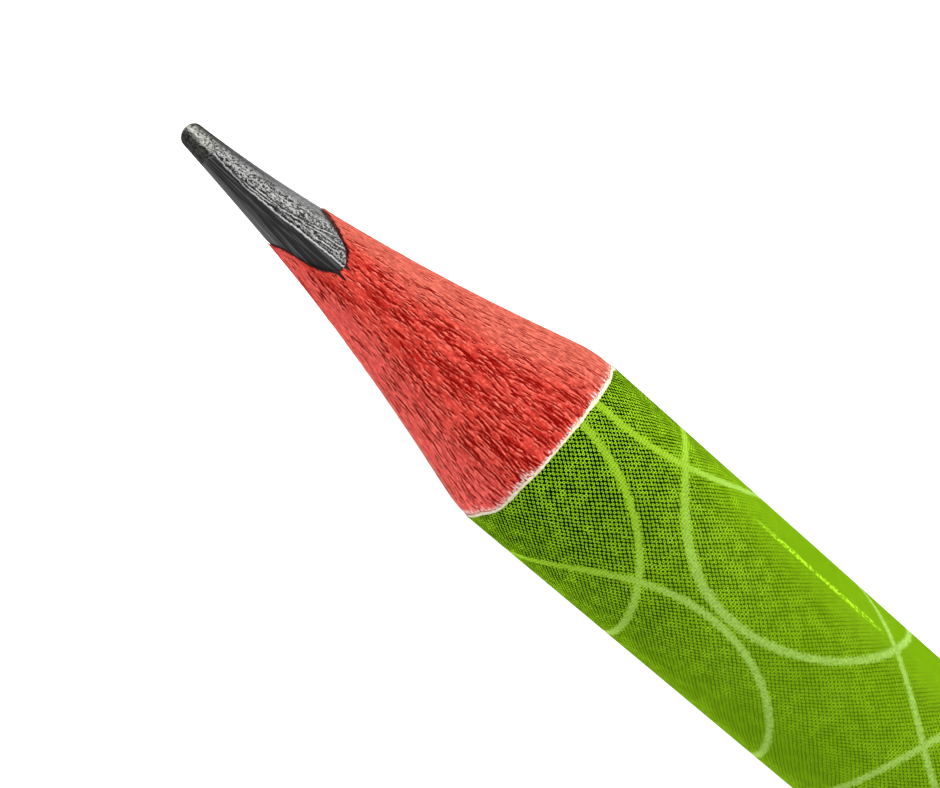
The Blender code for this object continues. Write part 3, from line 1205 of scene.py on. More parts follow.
@dataclass
class Lead(Piece):
    """The graphite rod with its sharpened, worn point.

    Attributes:
        columns: facets round it.
        rings: rings along the cone.
        cap_rings: rings over the rounded tip.
        flat_centre: middle of the blade's flat, from the top towards +Y.
        flat_half: half its width.
        flat_start: where it starts.
        crumb_height: how far a crumb stands out.
        ridge_height: how far a bright line stands out, and a dark one lies in.
        scratches: the bright lines beyond the ridge.
    """

    columns: int = 410
    rings: int = 210
    cap_rings: int = 22
    flat_centre: float = math.radians(-20.0)
    flat_half: float = math.radians(20.0)
    flat_start: float = 1.22
    crumb_height: float = 0.007
    ridge_height: float = 0.012
    scratches: tuple[Scratch, ...] = (
        Scratch(2.6, -1.0, 5.0, 1.9),
        Scratch(3.1, 8.0, 2.5, 1.5),
        Scratch(3.8, 8.2, 7.1, 2.2),
        Scratch(4.3, 11.5, 12.5, 2.0),
        Scratch(5.4, 9.0, 4.0, 1.1),
        Scratch(5.7, 20.0, 5.0, 0.9),
    )

    def ridge_angle(self, distance: np.ndarray) -> np.ndarray:
        """Where the sharp ridge beside the flat runs."""
        stations = (1.1, 1.9, 2.7, 3.95, 5.1, 6.5)
        degrees = (4.6, -2.0, -6.5, -3.0, 1.1, 3.6)
        return np.radians(np.interp(distance, stations, degrees))

    def flattened(self, distance: np.ndarray, angle: np.ndarray) -> np.ndarray:
        """The cut's radius with the blade's flat taken off.

        Args:
            distance: each point's distance from the tip.
            angle: its angle from the top.

        Returns:
            The radius of each point from the cut's axis.
        """
        radius = self.cut.lead(distance)
        turn = angle - self.flat_centre
        share = math.cos(self.flat_half) / np.cos(np.clip(turn, -self.flat_half, self.flat_half))
        begun = smooth(distance, self.flat_start - 0.1, self.flat_start + 0.2)
        return radius * (1 - (1 - share) * begun)

    def end(self, angle: np.ndarray) -> np.ndarray:
        """Where the cut reaches the core's side.

        Args:
            angle: the columns' angles.

        Returns:
            The distance from the tip, for each column.
        """
        axis, core = self.cut.axis(), self.blank.core_axis()

        def outside(distance: np.ndarray) -> np.ndarray:
            """How far the cut lies outside the core."""
            points = axis.ring(distance, self.flattened(distance, angle), angle)
            radius, turn = core.across(points)
            return radius - self.blank.core_radius - self.blank.core_outline(turn, distance)

        return solve(outside, self.cut.cap_length, np.full_like(angle, CORE_LIMIT))

    def marks(
        self, distance: np.ndarray, angle: np.ndarray, points: np.ndarray
    ) -> dict[str, np.ndarray]:
        """What the blade and writing left on the surface.

        Args:
            distance: each point's distance from the tip.
            angle: its angle from the top.
            points: the points themselves.

        Returns:
            Named masks: flat, ridge_highlight (painted highlight; below 0, painted shade in the
            dark line beside it), smooth, edge, tip, shade (painted shade) and crumbs.
        """
        radius = self.cut.lead(distance)
        jag = grain(points, size=0.10, seed=3.1) * 0.018 + grain(points, size=0.4, seed=7.7) * 0.012
        across = radius * (angle - self.ridge_angle(distance)) + jag
        start = self.flat_start + 0.16 * smooth(across, -0.35, 0.05)
        begun = smooth(distance, start - 0.03, start + 0.03)
        along = smooth(distance, 1.15, 1.5)
        flat = smooth(across, 0.02, -0.02) * begun
        # Painted highlight on the raised ridge, and painted shade on the sunk line beside it
        # (dark).
        ridge_highlight = hump(across, 0.024) * along * (0.55 + 0.45 * smooth(distance, 2.2, 3.0))
        dark = hump(across - 0.055, 0.026) * along
        # Each scratch is painted light where it is raised and dark where it is sunk.
        for scratch in self.scratches:
            end = scratch.start + scratch.length
            line = np.radians(scratch.turn + scratch.gain * (distance - scratch.start))
            offset = radius * (angle - line) + jag
            shown = smooth(distance, scratch.start - 0.2, scratch.start + 0.2)
            shown = shown * smooth(distance, end, scratch.start + 0.7 * scratch.length)
            ridge_highlight = np.maximum(ridge_highlight, hump(offset, 0.022) * 0.85 * shown)
            dark = np.maximum(dark, hump(np.abs(offset) - 0.052, 0.024) * shown)
        # A painted glint along the worn tip, carried in the highlight mask.
        spark = radius * (angle - np.radians(18.0 - 12.0 * distance)) + jag * 1.5
        glint = hump(spark, 0.035) * smooth(distance, 1.2, 0.9)
        broken = np.clip(0.45 + grain(points, size=0.06, seed=6.6), 0, 0.8)
        ridge_highlight = np.maximum(ridge_highlight, glint * broken)
        nick = radius * (angle - np.radians(-18.0 + 4.2 * (distance - 4.5))) + jag * 0.3
        edge = hump(nick, 0.02) * smooth(distance, 4.2, 4.6) * 0.5
        edge = edge + smooth(angle, math.radians(-40), math.radians(-50)) * 0.55
        # Painted shade on the -Y side of the ridge, off the flat, and over the worn tip's +Y side.
        beside = smooth(across, 0.03, -0.12) * (1 - flat)
        painted_shade_side = smooth(angle, math.radians(22), math.radians(66))
        return {
            "flat": flat,
            "ridge_highlight": ridge_highlight - dark,
            "smooth": smooth(angle, math.radians(34), math.radians(56)),
            "edge": edge,
            "tip": smooth(distance, 1.35, 1.05),
            "shade": np.maximum(beside, 0.95 * smooth(distance, 4.4, 0.4) * painted_shade_side),
            "crumbs": grain(points, size=0.07, seed=1.3),
        }

    def build(self) -> bpy.types.Object:
        """Build and dress the graphite."""
        cut, blank = self.cut, self.blank
        axis, core = cut.axis(), blank.core_axis()
        angle = np.linspace(-math.pi, math.pi, self.columns, endpoint=False)
        end = self.end(angle)
        bend = np.linspace(0, math.pi / 2, self.cap_rings + 1)[1:]
        cap = cut.cap_length * (1 - np.cos(bend))
        run = np.linspace(0, 1, self.rings + 1)[1:]
        distance = np.concatenate(
            [
                np.repeat(cap[:, None], self.columns, axis=1),
                cut.cap_length + (end - cut.cap_length)[None, :] * run[:, None],
            ]
        )
        angles = np.broadcast_to(angle, distance.shape)
        points = axis.ring(distance, self.flattened(distance, angles), angles)
        marks = self.marks(distance, angles, points)
        inside = smooth(end[None, :] - distance, 0.0, 0.12)
        rough = marks["crumbs"] * (1 - marks["flat"]) * (1 - 0.6 * marks["smooth"])
        lift = (rough * self.crumb_height + marks["ridge_highlight"] * self.ridge_height) * inside
        radius = self.flattened(distance, angles) + lift
        points = axis.ring(distance, radius, angles)
        points = points + cut.worn(distance)[..., None] * axis.side
        shell = Shell()
        body = shell.add(points, **marks)
        tip = axis.point(np.zeros(1), np.zeros(1), cut.worn(np.zeros(1)))
        tip_marks = {name: mask[0, :1] for name, mask in marks.items()}
        tip_number = shell.add(tip, **tip_marks)[0]
        shell.fan(body[0], int(tip_number), Area(0.90, 0.90, 0.94, 0.94))
        up = np.linspace(0, 1, len(body))
        shell.weave(body, Area(0.01, 0.01, 0.99, 0.86), closed=True, up=up)
        _, turn = core.across(points[-1])
        rims = [body[-1]]
        for station in (*INNER_STATIONS, blank.length):
            at = np.full_like(turn, station)
            rim = blank.core_radius + blank.core_outline(turn, at)
            rims.append(shell.add(core.ring(at, rim, turn)))
        shell.weave(np.array(rims), Area(0.01, 0.88, 0.60, 0.99), closed=True)
        centre = shell.add(core.point(np.array([blank.length]), np.zeros(1), np.zeros(1)))
        shell.fan(rims[-1], int(centre[0]), Area(0.64, 0.88, 0.74, 0.99))
        obj = shell.build("graphite_lead", sharp_degrees=70.0)
        return self.place(obj, "graphite_core", Slot.GRAPHITE, GraphiteFinish(cut).material())


@dataclass
class Casing(Piece):
    """The two slats of dyed wood, glued round the core.

    Attributes:
        columns: columns over the upper slat's cut.
        rings: rings along it.
        lower_columns: share of the columns that the lower slat has, as less of it shows.
        lower_rings: share of the rings that it has.
        joint: half the space between the slats.
        pore_depth: of a pore, and height of a fibre raised beside it.
        sunk: how far the cut lies in, so that raised fibres stay within the true cut.
        lap: how far the finely meshed cut runs on under the coats.
        pores: how many places for a pore are tried on a slat.
        seed: of their random places.
    """

    columns: int = 560
    rings: int = 160
    lower_columns: float = 0.8
    lower_rings: float = 0.9
    joint: float = 0.025
    pore_depth: float = 0.020
    sunk: float = 0.018
    lap: float = 0.45
    pores: int = 4200
    seed: int = 7

    def build(self) -> list[bpy.types.Object]:
        """Build and dress both slats."""
        material = WoodFinish(self.blank).material()
        made = []
        for name, upper in (("slat_upper", True), ("slat_lower", False)):
            obj = self.slat(name + "_grain", upper)
            made.append(self.place(obj, name, Slot.WOOD, material))
        return made

    def swept(self, distance: np.ndarray, share: np.ndarray, upper: bool) -> np.ndarray:
        """The angle of a column that spreads from one joint to the other.

        Args:
            distance: along the cut.
            share: from -1 at one joint to 1 at the other.
            upper: whether it is the upper slat.

        Returns:
            The angle from the top.
        """
        level = self.blank.core_rise - self.cut.rise + (self.joint if upper else -self.joint)
        beside = np.full_like(distance, math.pi / 2)
        radius = np.minimum(self.cut.wood(distance, beside), self.blank.wood_radius)
        edge = np.arccos(np.clip(level / radius, -1.0, 1.0))
        return share * edge if upper else math.pi + share * (math.pi - edge)

    def surface(self, distance: np.ndarray, angle: np.ndarray) -> np.ndarray:
        """Points on the cut, held within the turned wood.

        Args:
            distance: from the tip along the cut's axis.
            angle: round it, from the top.

        Returns:
            The points.
        """
        turned = (angle + math.pi) % (2 * math.pi) - math.pi
        points = self.cut.axis().ring(distance, self.cut.wood(distance, turned), angle)
        barrel = self.blank.axis()
        radius, turn = barrel.across(points)
        held = np.minimum(radius, self.blank.wood_radius)
        along = points[..., 0] - self.blank.tip
        return barrel.ring(along, held, turn)

    def chip(self, angle: np.ndarray) -> np.ndarray:
        """How far the thin lip beside the graphite has broken back.

        Args:
            angle: the columns' angles.

        Returns:
            A length along the cut, for each column.
        """
        ring = ring_places(angle, 1.0)
        coarse, fine = grain(ring, size=0.06, seed=4.4), grain(ring, size=0.02, seed=9.1)
        rough = np.abs(coarse) + 0.5 * np.abs(fine)
        turn = np.degrees(angle)
        wide = 0.18 * hump(turn - 58.0, 16.0) + 0.05 * hump(turn + 50.0, 20.0)
        notch = 0.40 * hump(turn + 8.0, 2.0) + 0.20 * hump(turn - 5.0, 1.5)
        return 0.02 + 0.06 * rough + wide + notch

    def busy(self, distance: float, degrees: float, crowd: float) -> float:
        """How likely a spot is to hold a pore; most are on top and near the shoulder.

        Args:
            distance: the spot's distance from the tip.
            degrees: its angle from the top.
            crowd: how crowded the pores are thereabouts, from 0 to 1.

        Returns:
            The likelihood, from 0 to 1.
        """
        degrees = half_turned(degrees)
        top = 0.50 + 0.50 * hump(degrees - 2.0, 46.0)
        near = 0.75 + 0.25 * smooth(distance, 9.5, 14.5)
        return top * near * (1 - 0.35 * smooth(degrees, 30, 50)) * crowd

    def relief(self, points: np.ndarray, distance: np.ndarray) -> np.ndarray:
        """Torn pores, each with a fibre raised beside it, scattered over a grid of points.

        Args:
            points: in rows along the cut and columns round it.
            distance: each point's distance from the tip.

        Returns:
            -1 in the bottom of a pore, up to 1 on the fibre raised beside it.
        """
        radius, angle = self.blank.axis().across(points)
        angle = np.unwrap(angle, axis=1)
        rows, columns = distance.shape
        chance = np.random.default_rng(self.seed)
        pores, fibres = np.zeros_like(distance), np.zeros_like(distance)
        spread = np.stack([points[..., 0] / 1.6, angle * 5.0, np.zeros_like(angle)], axis=-1)
        # How the pores crowd together is read at every fourth point, which is fine enough.
        coarse = 4
        patches = grain(spread[::coarse, ::coarse], size=1.0, seed=6.1)
        crowd = np.clip(0.66 + 0.6 * patches, 0.05, 1.0)
        jag = grain(points, size=(0.12, 0.06, 0.06), seed=14.2)
        least = 1e-6  # keeps every step of the grid above 0
        for _ in range(self.pores):
            row, column = int(chance.integers(2, rows - 2)), int(chance.integers(columns))
            share, kind, bend, phase, lean = chance.random(5)
            spot, turn, out = distance[row, column], angle[row, column], radius[row, column]
            keep = self.busy(spot, math.degrees(turn), crowd[row // coarse, column // coarse])
            if share > keep * out / 3.0:
                continue
            # The pore's half length and width, and the part of the grid that it can reach.
            half = (0.05 + 0.38 * kind**2.8) * (0.7 + 0.5 * smooth(spot, 6, 11))
            width = 0.012 + 0.017 * chance.random() * (0.6 + 0.8 * kind)
            row_step = abs(distance[min(row + 1, rows - 1), column] - spot) + least
            step = abs(angle[row, (column + 1) % columns] - turn)
            column_step = min(step, 0.05) * out + least
            tall = int(half / row_step) + 2
            broad = int((4.5 * width + 0.15 * half) / column_step) + 2
            top, left = max(row - tall, 0), max(column - broad, 0)
            window = np.s_[top : row + tall + 1, left : column + broad + 1]
            # Its line leans, winds and frays.
            along = distance[window] - spot
            winding = 0.020 * np.sin(along * (3 + 9 * bend) + 6.3 * phase)
            curve = (lean - 0.5) * 0.28 * along + winding
            offset = (angle[window] - turn) * radius[window] - curve + 0.018 * jag[window]
            taper = np.sqrt(np.clip(1 - (along / half) ** 2, 0.0, 1.0))
            strength = 0.55 + 0.6 * chance.random()
            line = hump(offset / (0.35 + 0.65 * taper), width) * np.minimum(taper * 2, 1) * strength
            pores[window] = np.maximum(pores[window], line)
            beside = hump(offset + 1.9 * width + 0.008, 0.014) * taper * strength * 0.8
            fibres[window] = np.maximum(fibres[window], beside)
        quiet = 1 - 0.25 * smooth(half_turned(np.degrees(angle)), 34, 56)
        return (fibres * (1 - np.minimum(pores, 1)) - np.minimum(pores, 1)) * quiet

    def lip(self, points: np.ndarray, distance: np.ndarray) -> np.ndarray:
        """The groove's broken lip, where the wood came away from the core, painted dark as shadow.

        Args:
            points: in rows along the cut and columns round it.
            distance: each point's distance from the tip.

        Returns:
            1 on the lip, falling to 0 behind it.
        """
        turn = self.blank.axis().across(points)[1]
        degrees = half_turned(np.degrees(turn))
        wave = grain(points, size=(0.16, 0.09, 0.09), seed=3.3)
        reach = 0.035 + 0.065 * smooth(degrees, 6, 22) * smooth(degrees, 75, 50) + 0.06 * wave
        return smooth(distance - distance[0], reach + 0.03, reach - 0.02)

    def paint(self, points: np.ndarray, angle: np.ndarray, distance: np.ndarray) -> np.ndarray:
        """How much broken base coat clings to the wood in front of its edge.

        Args:
            points: in rows along the cut and columns round it.
            angle: each point's angle from the top.
            distance: its distance from the tip.

        Returns:
            From 0 on bare wood to 1 on the coat.
        """
        ring = ring_places(angle, GRAIN_RADIUS)
        dash = np.abs(grain(ring, size=0.055, seed=12.3))
        patch = grain(ring, size=0.9, seed=15.0)
        fork = np.abs(grain(ring, size=0.023, seed=19.9))
        reach = 0.02 + (0.17 * dash**1.6 + 0.16 * fork**2) * np.clip(0.75 + 1.1 * patch, 0.1, 2)
        front = self.cut.film_edge - 0.10
        left = front + edge_slant(angle) - distance
        spots = grain(points, size=(0.07, 0.05, 0.05), seed=17.0)
        return smooth(reach - left, -0.03, 0.03) * smooth(spots, -0.25, 0.15)

    def groove_end(self, share: np.ndarray, upper: bool) -> np.ndarray:
        """Where the cut reaches the core's groove, for each column.

        Args:
            share: the columns' places, from -1 at one joint to 1 at the other.
            upper: whether it is the upper slat.

        Returns:
            The distance from the tip, for each column.
        """
        blank, core = self.blank, self.blank.core_axis()

        def outside(distance: np.ndarray) -> np.ndarray:
            """How far the cut lies outside the groove."""
            points = self.surface(distance, self.swept(distance, share, upper))
            radius, turn = core.across(points)
            wall = blank.core_radius + blank.groove_gap
            return radius - wall - blank.core_outline(turn, distance)

        return solve(outside, 0.2, np.full(len(share), CORE_LIMIT))

    def slat(self, name: str, upper: bool) -> bpy.types.Object:
        """Build one slat.

        Args:
            name: the object's name.
            upper: the upper slat, or else the lower one.

        Returns:
            The slat, still without its finish.
        """
        blank, core, barrel = self.blank, self.blank.core_axis(), self.blank.axis()
        columns = self.columns if upper else int(self.columns * self.lower_columns)
        rings = self.rings if upper else int(self.rings * self.lower_rings)
        share = np.linspace(-1, 1, columns)
        inside_joint = smooth(1 - np.abs(share), 0.0, 0.04)
        start = self.groove_end(share, upper)
        start = start + self.chip(self.swept(start, share, upper)) * inside_joint
        stop = self.cut.film_edge + self.lap
        run = np.linspace(0, 1, rings + 1)[:, None]
        distance = start + (stop - start) * run
        angles = self.swept(distance, np.broadcast_to(share, distance.shape), upper)
        points = self.surface(distance, angles)
        relief = self.relief(points, distance)
        lip = self.lip(points, distance)
        paint = self.paint(points, angles, distance)
        calm = inside_joint * smooth(stop - distance, 0.05, 0.4)
        calm = calm * smooth(distance - start, -0.05, 0.15)
        depth = (np.clip(relief, -1, 0.8) * self.pore_depth - self.sunk) * calm
        radius, turn = barrel.across(points)
        along = points[..., 0] - blank.tip
        points = barrel.ring(along, radius + depth, turn)
        shell = Shell()
        outer = shell.add(points, relief=relief * calm, paint=paint, lip=lip)
        rear = shell.add(barrel.ring(np.full(columns, blank.length), radius[-1], turn[-1]))
        _, core_turn = core.across(points[0])
        behind = [np.full(columns, station) for station in (*INNER_STATIONS[1:], blank.length)]
        groove = []
        for station in (along[0], *behind):
            wall = blank.core_radius + blank.groove_gap + blank.core_outline(core_turn, station)
            groove.append(shell.add(core.ring(station, wall, core_turn)))
        shell.weave(outer, Area(0.005, 0.12, 0.995, 0.995))
        shell.weave(np.array([outer[-1], rear]), Area(0.005, 0.075, 0.995, 0.115))
        shell.weave(np.array([rear, groove[-1]]), Area(0.005, 0.04, 0.30, 0.07))
        shell.weave(np.array(groove), Area(0.32, 0.005, 0.60, 0.07))
        shell.weave(np.array([groove[0], outer[0]]), Area(0.62, 0.005, 0.995, 0.03))
        joints = ((0, Area(0.62, 0.035, 0.80, 0.07)), (-1, Area(0.82, 0.035, 0.99, 0.07)))
        for column, area in joints:
            inner = [row[column] for row in reversed(groove)]
            loop = [*outer[:, column], rear[column], *inner]
            shell.panel(loop, shell.where(loop)[:, :2], area)
        return shell.build(name, sharp_degrees=60.0)


def edge_slant(angle: np.ndarray) -> np.ndarray:
    """How much further back the coats' edge lies than at the top of the barrel.

    Args:
        angle: from the top.

    Returns:
        A length along the barrel; below 0, the edge lies further forward.
    """
    turn = np.degrees((angle + math.pi) % (2 * math.pi) - math.pi)
    right = 0.30 * smooth(turn, 10.0, 85.0)
    left = 0.10 * hump(turn + 44.0, 11.0) - 0.20 * smooth(-turn, 46.0, 72.0)
    return (right + left) * (1 - smooth(np.abs(turn), 100.0, 175.0))


@dataclass
class Glue(Piece):
    """The dried glue: a sleeve round the core with a wing to each side.

    Attributes:
        sleeve_columns: columns over half the sleeve.
        wing_columns: columns over a wing's width.
        recess: how far it lies below the wood's cut.
        wing_margin: how far the wings end inside the turned wood.
        front_run: length of the first stretch behind the cut.
        spread: share of a station's distance that its rings keep behind the cut.
    """

    sleeve_columns: int = 120
    wing_columns: int = 60
    recess: float = 0.05
    wing_margin: float = 0.01
    front_run: float = 0.3
    spread: float = 0.02

    @property
    def half(self) -> float:
        """Half the glue's thickness."""
        return self.blank.glue / 2

    @property
    def outer_radius(self) -> float:
        """Outside of the sleeve, where the core is truly round."""
        return self.blank.core_radius + self.blank.gap + self.blank.glue

    @property
    def corner(self) -> float:
        """The angle, from the middle of half a sleeve, at which a wing leaves it."""
        return math.acos(self.half / self.outer_radius)

    def sleeve(self, middle: float, gap: float) -> Rule:
        """Half a sleeve round the core.

        Args:
            middle: the angle of its middle.
            gap: how far it lies outside the core.

        Returns:
            A rule that gives its points at a distance from the tip.
        """
        turn = middle + np.linspace(-self.corner, self.corner, self.sleeve_columns)

        def at(station: np.ndarray) -> np.ndarray:
            """The sleeve's points at one distance."""
            rim = self.blank.core_radius + gap + self.blank.core_outline(turn, station)
            return self.blank.core_axis().ring(station, rim, turn)

        return at

    def wing(self, side: int, top: bool) -> Rule:
        """One face of a wing, from the sleeve outwards.

        Args:
            side: 1 for the wing towards +Y, or -1 for the other.
            top: the face on top, or else the one underneath.

        Returns:
            A rule that gives its points at a distance from the tip.
        """
        blank = self.blank
        level = self.half if top else -self.half
        rise = blank.core_rise + self.half
        widest = math.sqrt((blank.wood_radius - self.wing_margin) ** 2 - rise**2)
        inner = self.outer_radius * math.sin(self.corner)
        limit = widest - side * blank.core_shift
        step = np.linspace(0, 1, self.wing_columns + 1)[1:]

        def at(station: np.ndarray) -> np.ndarray:
            """The face's points at one distance."""
            return blank.core_axis().point(station, level, side * (inner + (limit - inner) * step))

        return at

    def front(self, part: Rule) -> np.ndarray:
        """Where each column of a part meets the recessed cut.

        Args:
            part: gives the columns' points at a distance from the tip.

        Returns:
            The distance from the tip, for each column.
        """
        axis = self.cut.axis()
        count = part(np.zeros(1)).shape[0]

        def past(distance: np.ndarray) -> np.ndarray:
            """How far the recessed cut lies outside the part's points."""
            points = part(distance)
            radius, turn = axis.across(points)
            along = (points - axis.origin) @ axis.along
            return self.cut.wood(along, turn) - self.recess - radius

        return solve(past, 0.0, np.full(count, INNER_STATIONS[-1]))

    def placed(self, part: Rule, station: float) -> np.ndarray:
        """A part's points at a station, or behind the cut where the cut is further back.

        Args:
            part: gives the columns' points at a distance from the tip.
            station: the distance from the tip, or 0 for the cut itself.

        Returns:
            The points.
        """
        return part(np.maximum(self.front(part) + self.spread * station, station))

    def outline(self, station: float) -> np.ndarray:
        """The sleeve's outside with both wings, as one closed line."""
        gap = self.blank.gap + self.blank.glue
        parts = (
            (self.sleeve(0.0, gap), False),
            (self.wing(1, True), False),
            (self.wing(1, False), True),
            (self.sleeve(math.pi, gap), False),
            (self.wing(-1, False), False),
            (self.wing(-1, True), True),
        )
        rows = []
        for part, backwards in parts:
            row = self.placed(part, station)
            rows.append(row[::-1] if backwards else row)
        return np.concatenate(rows)

    def bore(self, station: float) -> np.ndarray:
        """The sleeve's inside, as one closed line."""
        halves = (self.sleeve(middle, self.blank.gap) for middle in (0.0, math.pi))
        return np.concatenate([self.placed(half, station) for half in halves])

    def close(self, shell: Shell, ring: np.ndarray, hole: np.ndarray, low: float) -> None:
        """Close one end in strips, with a panel at each wing's root.

        Args:
            shell: the piece so far.
            ring: numbers of the outline's points at this end.
            hole: numbers of the bore's points.
            low: where the end starts on the texture map.
        """
        sleeve, wing = self.sleeve_columns, self.wing_columns
        strips, roots = [], []
        for half in range(2):
            start = half * (sleeve + 2 * wing)
            root = start + sleeve
            stop = root + 2 * wing
            bore_start, bore_stop = half * sleeve, (half + 1) * sleeve
            strips.append((ring[start:root], hole[bore_start:bore_stop]))
            strips.append((ring[root : root + wing], ring[root + wing : stop][::-1]))
            bore_corners = hole[bore_stop % len(hole)], hole[bore_stop - 1]
            roots.append((*ring[[root - 1, root, stop - 1, stop % len(ring)]], *bore_corners))
        for i, pair in enumerate(strips):
            area = Area(0.01 + 0.24 * i, low, 0.22 + 0.24 * i, low + 0.04)
            shell.weave(np.array(pair), area)
        for i, loop in enumerate(roots):
            area = Area(0.01 + 0.1 * i, low + 0.05, 0.08 + 0.1 * i, low + 0.08)
            shell.panel(loop, shell.where(loop)[:, 1:], area)

    def build(self) -> bpy.types.Object:
        """Build and dress the glue."""
        stations = (0.0, self.front_run, *INNER_STATIONS, self.blank.length)
        shell = Shell()
        outside = np.array([shell.add(self.outline(station)) for station in stations])
        inside = np.array([shell.add(self.bore(station)) for station in stations])
        shell.weave(outside, Area(0.01, 0.40, 0.99, 0.99), closed=True)
        shell.weave(inside, Area(0.01, 0.20, 0.99, 0.38), closed=True)
        for row, low in ((0, 0.01), (-1, 0.10)):
            self.close(shell, outside[row], inside[row], low)
        obj = shell.build("glue_seam", sharp_degrees=50.0)
        return self.place(obj, "glue_film", Slot.GLUE, GlueFinish().material())


def tube_rings(
    shell: Shell, axis: Axis, angle: np.ndarray, rows: Sequence[tuple[np.ndarray, float]]
) -> list[np.ndarray]:
    """Add the rings of a thin tube to a shell.

    Args:
        shell: the piece so far.
        axis: the tube's axis.
        angle: the columns' angles.
        rows: each ring's distance from the tip in every column, and its radius.

    Returns:
        The numbers of each ring's points.
    """
    rings = []
    for distance, radius in rows:
        rings.append(shell.add(axis.ring(distance, np.full_like(distance, radius), angle)))
    return rings


@dataclass
class Coat(Piece):
    """The base coat, a thin tube whose front edge broke off in fibres.

    Attributes:
        columns: facets round it.
        setback: how far in front of the film it starts.
        front_run: length of the finely mapped stretch behind its broken edge.
    """

    columns: int = 1000
    setback: float = 0.10
    front_run: float = 0.4

    def edge(self, angle: np.ndarray) -> np.ndarray:
        """Where the coat starts.

        Args:
            angle: the columns' angles.

        Returns:
            The distance from the tip, for each column.
        """
        ring = ring_places(angle, GRAIN_RADIUS)
        rough = grain(ring, size=0.07, seed=21.0) * 0.03 + grain(ring, size=0.4, seed=23.0) * 0.03
        edge = self.cut.film_edge - self.setback + edge_slant(angle) + rough
        return np.maximum(edge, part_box("base_coat")[0].x / MM - self.blank.tip)

    def build(self) -> bpy.types.Object:
        """Build and dress the base coat."""
        blank, barrel = self.blank, self.blank.axis()
        angle = np.linspace(-math.pi, math.pi, self.columns, endpoint=False)
        front = self.edge(angle)
        rear = np.full_like(front, blank.length)
        outer, inner = blank.coat_radius, blank.wood_radius + blank.gap
        # The first four rows are the rounded front edge, from the inside outwards.
        rows = [
            (front + 0.01, inner),
            (front, inner + 0.006),
            (front + 0.006, outer - 0.003),
            (front + 0.02, outer),
            (front + self.front_run, outer),
            (rear, outer),
            (rear, inner),
        ]
        shell = Shell()
        rings = tube_rings(shell, barrel, angle, rows)
        shell.weave(np.array(rings[:5]), Area(0.01, 0.30, 0.99, 0.99), closed=True)
        shell.weave(np.array(rings[4:]), Area(0.01, 0.12, 0.99, 0.28), closed=True)
        shell.weave(np.array([rings[-1], rings[0]]), Area(0.01, 0.01, 0.99, 0.10), closed=True)
        obj = shell.build("base_coat_edge", sharp_degrees=50.0)
        return self.place(obj, "base_coat", Slot.COAT, CoatFinish().material())


@dataclass
class Film(Piece):
    """The printed film, wrapped once round with a butt seam underneath.

    Attributes:
        rings: the printed rings of one repeat.
        columns: facets round it.
        seam_width: of the seam.
        seam_angle: where the seam is.
        rounding: of the edges' outer corner.
        front_run: length of the first stretch behind the cut.
        front_end: where the finely mapped front ends.
    """

    rings: tuple[Ring, ...] = ()
    columns: int = 1150
    seam_width: float = 0.06
    seam_angle: float = math.radians(150.0)
    rounding: float = 0.006
    front_run: float = 0.3
    front_end: float = 40.0

    def edge(self, angle: np.ndarray) -> np.ndarray:
        """Where the film starts.

        Args:
            angle: the columns' angles.

        Returns:
            The distance from the tip, for each column.
        """
        ring = ring_places(angle, GRAIN_RADIUS)
        rough = grain(ring, size=0.10, seed=31.0) * 0.014
        bend = grain(ring, size=0.8, seed=33.0) * 0.03
        chip = 0.22 * hump(np.degrees(angle) - 80.0, 6.0)
        edge = self.cut.film_edge + edge_slant(angle) + rough + bend + chip
        return np.maximum(edge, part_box("printed_film")[0].x / MM - self.blank.tip)

    def build(self) -> bpy.types.Object:
        """Build and dress the film."""
        blank, barrel = self.blank, self.blank.axis()
        half = self.seam_width / 2 / blank.radius
        first, last = self.seam_angle - 2 * math.pi + half, self.seam_angle - half
        angle = np.linspace(first, last, self.columns)
        front = self.edge(angle)
        outer, inner = blank.radius, blank.radius - blank.film
        rear = np.full_like(front, blank.length)
        rows = [
            (front, inner),
            (front, outer - self.rounding),
            (front + self.rounding, outer),
            (front + self.front_run, outer),
            (np.full_like(front, self.front_end), outer),
            (rear - self.rounding, outer),
            (rear, outer - self.rounding),
            (rear, inner),
        ]
        shell = Shell()
        rings = tube_rings(shell, barrel, angle, rows)
        up = np.array([0, 0.012, 1.0])
        shell.weave(np.array(rings[:3]), Area(0.005, 0.985, 0.995, 0.995))
        shell.weave(np.array(rings[2:5]), Area(0.005, 0.50, 0.995, 0.98), up=up)
        shell.weave(np.array(rings[4:6]), Area(0.005, 0.06, 0.995, 0.495))
        shell.weave(np.array(rings[5:]), Area(0.005, 0.05, 0.995, 0.058))
        shell.weave(np.array([rings[-1], rings[0]]), Area(0.005, 0.03, 0.995, 0.048))
        edges = ((0, Area(0.01, 0.005, 0.45, 0.02)), (-1, Area(0.5, 0.005, 0.95, 0.02)))
        for column, area in edges:
            loop = [ring[column] for ring in rings]
            corners = shell.where(loop)
            radius, _ = barrel.across(corners)
            shell.panel(loop, np.stack([corners[:, 0], radius], axis=-1), area)
        obj = shell.build("printed_film_wrap", sharp_degrees=50.0)
        finish = FilmFinish(blank, self.rings, self.seam_angle)
        return self.place(obj, "printed_film", Slot.FILM, finish.material())


# ---------------------------------------------------------------------------------------
# Camera, light and floor
# ---------------------------------------------------------------------------------------


@dataclass(frozen=True)
class Lamp:
    """One soft lamp.

    Attributes:
        name: the lamp's name.
        direction: from the sharpened end towards the lamp.
        distance: in metres.
        size: of its square face, in metres.
        power: in watts.
    """

    name: str
    direction: Direction
    distance: float
    size: float
    power: float


